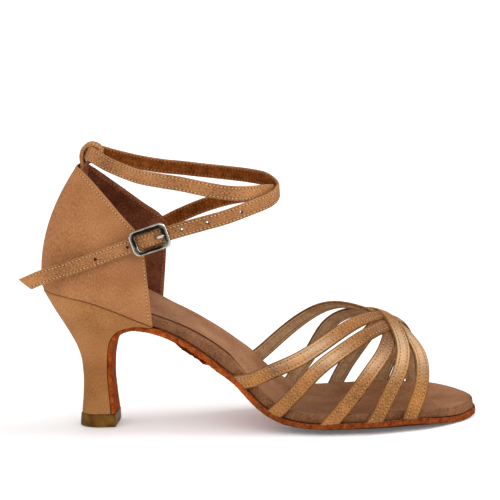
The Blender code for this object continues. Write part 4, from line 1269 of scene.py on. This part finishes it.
def make_vamp():
    """Five sewn straps that cross over the toes, each tucked between insole and outsole."""
    shown, hidden = [], []
    for name, rows in VAMP_STRAPS.items():
        fine = smooth_route(rows, VAMP_STEPS)
        centres = relaxed([dome_point(*spot) for spot in fine], EVEN_PASSES)
        outs = relaxed([dome_normal(spot.x, spot.y) for spot in fine], EVEN_PASSES)
        centres, outs = run_on(centres, [out.normalized() for out in outs])
        bm = strap_mesh(VAMP_FORM, centres, outs, over_feather, 2)
        # Straps that run under the crossing get the satin with painted shade towards it
        face_satin = "strap_satin" if name in OVER_THE_CROSSING else "crossed_satin_painted_shade"
        finishes = [face_satin, "vamp_lining", "fold_satin_painted_shade"]
        make_piece("vamp_strap_" + name, bm, finishes, ["vamp_straps"])
        face_side = stitch_rows(VAMP_FORM, centres, outs)
        shown += [place for place in face_side if over_feather(place[0]) > SEWN_FROM]
        under_side = stitch_rows(VAMP_FORM, centres, outs, under=True)
        hidden += [place for place in under_side if over_feather(place[0]) > UNDER_SEWN_FROM]
    sew("vamp_stitches", shown, "vamp_thread_painted_shade")
    sew("vamp_under_stitches", hidden, "lining_thread_painted_shade")


def upright_outs(centres):
    """Outward directions of a strap that stands on its edge and leans forward in the loop."""
    outs = []
    for centre, ahead in zip(centres, directions(centres)):
        lean = LOOP_LEAN * (1 - ease(*LEAN_GOES, centre.x)) * ease(*LEAN_COMES, centre.z)
        up = Vector((math.sin(lean), 0.0, math.cos(lean)))
        outs.append(up.cross(ahead).normalized())
    return outs


def punch(piece, spots, radius):
    """Cuts round holes that narrow inwards through a piece: spots are (middle, out) in millimetres."""
    bm = bmesh.new()
    for middle, out in spots:
        turn = out.to_track_quat("Z", "Y").to_matrix().to_4x4()
        place = Matrix.Translation(to_metres(middle)) @ turn
        bmesh.ops.create_cone(bm, cap_ends=True, segments=16, radius1=0.0, radius2=2 * radius * MM,
                              depth=PUNCH_DEPTH * MM, matrix=place)
    mesh = mesh_from(bm, "punch")
    # The holes' walls take the dark prick finish: painted shade inside the holes
    mesh.materials.append(MATERIALS["needle_prick_painted_shade"])
    tool = put("punch", mesh)
    cut = piece.modifiers.new("holes", "BOOLEAN")
    cut.operation = "DIFFERENCE"
    cut.solver = "EXACT"
    cut.material_mode = "TRANSFER"
    cut.object = tool
    bpy.context.view_layer.update()
    graph = bpy.context.evaluated_depsgraph_get()
    punched = bpy.data.meshes.new_from_object(piece.evaluated_get(graph))
    piece.modifiers.clear()
    piece.data = punched
    bpy.data.objects.remove(tool, do_unlink=True)


def strap_place():
    """Middle, forward, up and outward directions of the ankle strap at the buckle."""
    centres = smooth_route(ANKLE_ROUTE, ANKLE_STEPS)
    front = max(range(len(centres)), key=lambda k: centres[k].x)
    index = min(range(front, len(centres)), key=lambda k: abs(centres[k].x - BUCKLE_X))
    forward = -directions(centres)[index]
    outward = forward.cross(Vector((0.0, 0.0, 1.0))).normalized()
    up = outward.cross(forward).normalized()
    return centres[index], forward, up, outward


BUCKLE_MIDDLE, BUCKLE_FORWARD, BUCKLE_UP, BUCKLE_OUT = strap_place()
RING_OUT = STRAP_ROOM + BUCKLE_GAUGE / 2 + GAP
BAR_IN = -(STRAP_ROOM + GAP + TAB_GAUGE + GAP + BAR_WIRE / 2)
RAIL = (BUCKLE_HEIGHT + WINDOW_HEIGHT) / 4


def on_buckle(forward, up, out):
    """A point in the buckle's own directions."""
    return BUCKLE_MIDDLE + BUCKLE_FORWARD * forward + BUCKLE_UP * up + BUCKLE_OUT * out


def make_ankle_strap():
    """Long strap: satin outside, suede inside, punched holes, slanted tail."""
    centres = smooth_route(ANKLE_ROUTE, ANKLE_STEPS)
    outs = upright_outs(centres)
    for k, centre in enumerate(centres):
        from_buckle = (centre - BUCKLE_MIDDLE).length / BULGE_REACH
        centres[k] = centre + outs[k] * (BULGE * math.exp(-from_buckle * from_buckle))
    bm = strap_mesh(ANKLE_FORM, centres, outs)
    tail, ahead = centres[-1], directions(centres)[-1]
    for vert in bm.verts:
        back = (tail - vert.co).dot(ahead)
        if vert.co.x < TAIL_END and back < TAIL_REACH:
            slant = TAIL_SLANT * ((vert.co.z - tail.z) / 3.6 - 0.3)
            vert.co += ahead * slant * (1 - ease(0.0, TAIL_REACH, back))
    finishes = ["ankle_satin", "strap_suede"]
    piece = make_piece("satin_ankle_strap", bm, finishes, ["ankle_strap"])
    front = max(range(len(centres)), key=lambda k: centres[k].x)
    run = range(front, len(centres))
    spots = []
    for x in HOLE_XS:
        k = min(run, key=lambda k: abs(centres[k].x - x))
        spots.append((centres[k], outs[k]))
    punch(piece, spots, HOLE_RADIUS)
    sew("ankle_stitches", stitch_rows(ANKLE_FORM, centres, outs, end=5.0), "sewing_thread")
    under = stitch_rows(ANKLE_FORM, centres, outs, end=5.0, under=True)
    sew("ankle_under_stitches", under, "lining_thread_painted_shade")


def make_loop():
    """Satin band at the top of the counter that carries the ankle strap."""
    centres = smooth_route(LOOP_ROUTE, LOOP_STEPS)
    side = Vector((0.0, 1.0, 0.0))
    outs = [ahead.cross(side).normalized() for ahead in directions(centres)]
    bm = strap_mesh(LOOP_FORM, centres, outs)
    for face in bm.faces:
        middle = face.calc_center_median()
        if middle.z < LOOP_LINED_TOP and middle.x > LOOP_LINED_X + 0.05 * (middle.z - 141.0):
            face.material_index = 1
    make_piece("satin_loop", bm, ["ankle_satin", "counter_lining"], ["strap_loop"])
    sew("loop_stitches", stitch_rows(LOOP_FORM, centres, outs, 12.0, 22.0), "sewing_thread")


def sew_counter():
    """One row of stitches along the counter's top and front edges."""
    shares = [-1 + 2 * k / 300 for k in range(301)]
    top = []
    for share in shares:
        foot, rim, _ = counter_lines(share)
        top.append((share, 1 - HEM / (rim - foot).length))
    heights = [FRONT_ROW_FOOT + (1 - HEM / FRONT_HEIGHT - FRONT_ROW_FOOT) * k / 80 for k in range(81)]
    inset = HEM / (SEAT_ARC * 0.9)
    rows = [[spot for spot in top if abs(spot[0]) < 1 - inset]]
    rows += [[(side * (1 - inset), height) for height in heights] for side in (-1.0, 1.0)]
    places, under = [], []
    for row in rows:
        line = [counter_spot(*spot) for spot in row]
        outs = []
        for share, height in row:
            across = counter_spot(share + 0.01, height) - counter_spot(share - 0.01, height)
            upward = counter_spot(share, min(height + 0.01, 1.0)) - counter_spot(share, height - 0.01)
            out = across.cross(upward).normalized()
            away = counter_spot(share, height) - HEEL_CUP_MIDDLE
            outs.append(out if out.dot(away) > 0 else -out)
        outer = [spot + out * THREAD_LIFT for spot, out in zip(line, outs)]
        places += stitch_line(outer, outs, 1.0, 1.0)
        inner = [spot - out * COUNTER_WALL for spot, out in zip(line, outs)]
        under += stitch_line(inner, [-out for out in outs], 1.0, 1.0)
    sew("counter_stitches", places, "sewing_thread")
    sew("counter_under_stitches", under, "lining_thread_painted_shade")


# The buckle

def rounded_box(length, height, corner, steps=10):
    """Outline of a rectangle with round corners, about its middle."""
    outline = []
    for quarter, (sx, sy) in enumerate(((1, 1), (-1, 1), (-1, -1), (1, -1))):
        middle = Vector((sx * (length / 2 - corner), sy * (height / 2 - corner)))
        for k in range(steps + 1):
            angle = math.radians(90 * quarter + 90 * k / steps)
            outline.append(middle + Vector((math.cos(angle), math.sin(angle))) * corner)
    return outline


def make_buckle_frame():
    """Cast frame with a domed face, broad at its ends, and a bar that dips under the strap."""
    outer = rounded_box(BUCKLE_LENGTH, BUCKLE_HEIGHT, BUCKLE_CORNER)
    window = rounded_box(WINDOW_LENGTH, WINDOW_HEIGHT, WINDOW_CORNER)
    columns, rows = 24, len(outer)

    def place(column, row):
        row %= rows
        angle = 2 * math.pi * (column % columns) / columns
        middle = (outer[row] + window[row]) / 2
        half = (outer[row] - window[row]) / 2
        reach = math.copysign(abs(math.cos(angle)) ** BUCKLE_SQUARE, math.cos(angle))
        dome = BUCKLE_DOME if math.sin(angle) > 0 else BUCKLE_BACK
        rise = dome * math.copysign(abs(math.sin(angle)) ** BUCKLE_SQUARE, math.sin(angle))
        spot = middle + half * reach
        return on_buckle(spot.x, spot.y, RING_OUT + rise)

    bm, _ = lay_grid(columns, rows, place, BUCKLE_ROUND, 60.0)
    close_seams(bm)
    dip = route((0.0, RAIL, RING_OUT), (0.0, RAIL, BAR_IN + BAR_TURN), (0.0, RAIL - BAR_TURN, BAR_IN))
    bar = dip + [Vector((p.x, -p.y, p.z)) for p in reversed(dip)]
    add_wire(bm, smooth_route(bar, 40), lambda share: BAR_WIRE / 2)
    make_piece("cast_buckle", bm, ["nickel"], ["buckle_frame"], 80.0)


def add_wire(bm, line, radius_at, segments=12):
    """A round wire along a line in the buckle's own sizes, with its ends closed."""
    ahead = directions(line)
    rings = []
    for k, spot in enumerate(line):
        side = ahead[k].cross(Vector((0.0, 1.0, 0.0)))
        if side.length < 0.1:
            side = ahead[k].cross(Vector((1.0, 0.0, 0.0)))
        turn = Matrix((side.normalized(), ahead[k].cross(side).normalized(), ahead[k])).transposed()
        ring = bmesh.ops.create_circle(bm, segments=segments, radius=radius_at(k / (len(line) - 1)),
                                       matrix=Matrix.Translation(spot) @ turn.to_4x4())["verts"]
        rings.append(ring)
    edges = [sorted({edge for vert in ring for edge in vert.link_edges}, key=lambda edge: edge.index)
             for ring in rings]
    made = []
    for low, high in zip(edges, edges[1:]):
        made += bmesh.ops.bridge_loops(bm, edges=low + high)["faces"]
    for ring in (edges[0], edges[-1]):
        made += bmesh.ops.holes_fill(bm, edges=ring)["faces"]
    bmesh.ops.recalc_face_normals(bm, faces=made)
    for vert in {vert for ring in rings for vert in ring}:
        vert.co = on_buckle(*vert.co)


def make_buckle_prong():
    """The prong hooks round the bar, comes up through the strap and rests on the front rail."""
    hook = (BAR_WIRE + PRONG_WIRE) / 2 + 0.1
    rest = RING_OUT + BUCKLE_DOME + PRONG_WIRE / 2
    rail = WINDOW_LENGTH / 2
    points = []
    for degrees in (250, 210, 170, 130, 95):
        angle = math.radians(degrees)
        points.append(Vector((hook * math.cos(angle), 0.0, BAR_IN + hook * math.sin(angle))))
    points += route(
        (STRAP_SLOT_FORWARD, 0.0, BAR_IN + hook + PRONG_WIRE * 0.8),
        (STRAP_SLOT_FORWARD + STRAP_SLOT / 2, 0.0, RING_OUT),
        (rail - PRONG_WIRE, 0.0, rest - 0.2),
        (rail + (BUCKLE_LENGTH - WINDOW_LENGTH) / 4 + PRONG_OVERHANG, 0.0, rest),
    )
    bm = bmesh.new()
    shine = bm.loops.layers.uv.new("cloth")
    add_wire(bm, smooth_route(points, 50),
             lambda share: PRONG_WIRE / 2 * (1 - 0.75 * ease(0.93, 1.0, share)))
    # The whole wire takes one bright level of the buckle's painted reflection bands: a painted highlight
    for face in bm.faces:
        for loop in face.loops:
            loop[shine].uv = (0.12 * BUCKLE_ROUND * MM, 0.0)
    make_piece("wire_prong", bm, ["nickel"], ["buckle_prong"], 80.0)


def make_buckle_tab():
    """A folded tab that holds the bar and is sewn on the outer quarter's corner."""
    form = StrapForm(TAB_WIDTH, TAB_GAUGE, 0.0, 1.0)
    round_bar = BAR_WIRE / 2 + 0.1 + TAB_GAUGE / 2
    line = route((-TAB_REACH, 0.0, BAR_IN - round_bar + 0.1), (-TAB_REACH * 0.5, 0.0, BAR_IN - round_bar))
    for degrees in range(-90, 91, 30):
        angle = math.radians(degrees)
        line.append(Vector((round_bar * math.cos(angle), 0.0, BAR_IN + round_bar * math.sin(angle))))
    line += route((-TAB_REACH * 0.4, 0.0, BAR_IN), (-TAB_REACH, 0.0, BAR_IN - 0.4))
    centres = [on_buckle(*spot) for spot in smooth_route(line, 60)]
    outs = [ahead.cross(BUCKLE_UP).normalized() for ahead in directions(centres)]
    bm = strap_mesh(form, centres, outs)
    make_piece("folded_tab", bm, ["ankle_satin", "strap_suede"], ["buckle_tab"])


# Room, light and camera

# The camera in millimetres; its roll and its lens are fitted to the photo's view
EYE = Vector((294.27, -1354.06, 367.78))
AIM = Vector((112.35, 6.37, 91.9))
ROLL = math.radians(3.42)
LENS = 188.8
# The studio is white overhead and dimmer towards its walls
SKY = 0.80
DIM = 0.42
# Soft boxes far away: name, where they stand, how wide they look in degrees, power, and
# for the two that only add gloss, how the names of the pieces they are aimed at begin
LAMPS = (
    ("key", (0.5, -0.9, 1.3), 56.0, 0.85, None),
    ("side", (0.80, 0.10, 0.75), 30.0, 1.6, None),
    ("fill", (-0.8, -0.9, 0.5), 60.0, 0.5, None),
    ("strip", (-0.50, -0.42, 0.757), 14.0, 16.0, "vamp_strap"),
    ("glint", (0.96, -0.12, 0.23), 14.0, 0.45, "cast_buckle"),
)


def make_room():
    """A white board under the shoe, a white studio round it and soft lamps."""
    bm = bmesh.new()
    bmesh.ops.create_grid(bm, x_segments=1, y_segments=1, size=9.0)
    floor = put("floor", mesh_from(bm, "floor"))
    # Matte white studio board; it glows a little, so that the shadow on it stays soft
    board, tree, shader = new_material("studio_board")
    set_inputs(tree, shader, {"Base Color": hex_colour("#fafafa"), "Roughness": 0.6,
                              "Emission Color": grey(1.0), "Emission Strength": 0.10})
    floor.data.materials.append(board)
    world = bpy.data.worlds.new("studio")
    bpy.context.scene.world = world
    world.use_nodes = True
    tree = world.node_tree
    where = add(tree, "ShaderNodeTexCoord")
    apart = add(tree, "ShaderNodeSeparateXYZ", {"Vector": where.outputs["Generated"]})
    shade = add_ramp(tree, apart.outputs["Z"], 0.10, grey(DIM), 0.60, grey(1.0))
    set_inputs(tree, tree.nodes["Background"], {"Color": shade.outputs["Color"], "Strength": SKY})
    for name, place, spread, power, gloss_on in LAMPS:
        lamp = bpy.data.lights.new(name, "SUN")
        lamp.angle = math.radians(spread)
        lamp.energy = power
        item = put(name, lamp)
        item.location = place
        item.visible_diffuse = not gloss_on
        if gloss_on:
            lit = bpy.data.collections.new("lit_by_" + name)
            for piece in bpy.context.scene.objects:
                if piece.name.startswith(gloss_on):
                    lit.objects.link(piece)
            item.light_linking.receiver_collection = lit
        item.rotation_euler = Vector(place).to_track_quat("Z", "Y").to_euler()
    bpy.context.scene.view_settings.view_transform = "Standard"


def make_camera():
    """Stands where the photo's camera stood, turned a little about its own axis."""
    eye, aim = to_metres(EYE), to_metres(AIM)
    back = (eye - aim).normalized()
    right = Vector((0.0, 0.0, 1.0)).cross(back).normalized()
    up = back.cross(right)
    c, s = math.cos(ROLL), math.sin(ROLL)
    turn = Matrix((right * c - up * s, right * s + up * c, back)).transposed().to_4x4()
    lens = bpy.data.cameras.new("camera")
    lens.lens = LENS
    lens.sensor_width = 36.0
    camera = put("camera", lens)
    camera.matrix_world = Matrix.Translation(eye) @ turn
    bpy.context.scene.camera = camera


for make in (make_outsole, make_insole, make_sock, make_heel, make_heel_tip, make_counter, sew_counter,
             make_loop, make_vamp, make_ankle_strap, make_buckle_frame, make_buckle_prong,
             make_buckle_tab, make_room, make_camera):
    make()

bpy.context.view_layer.update()
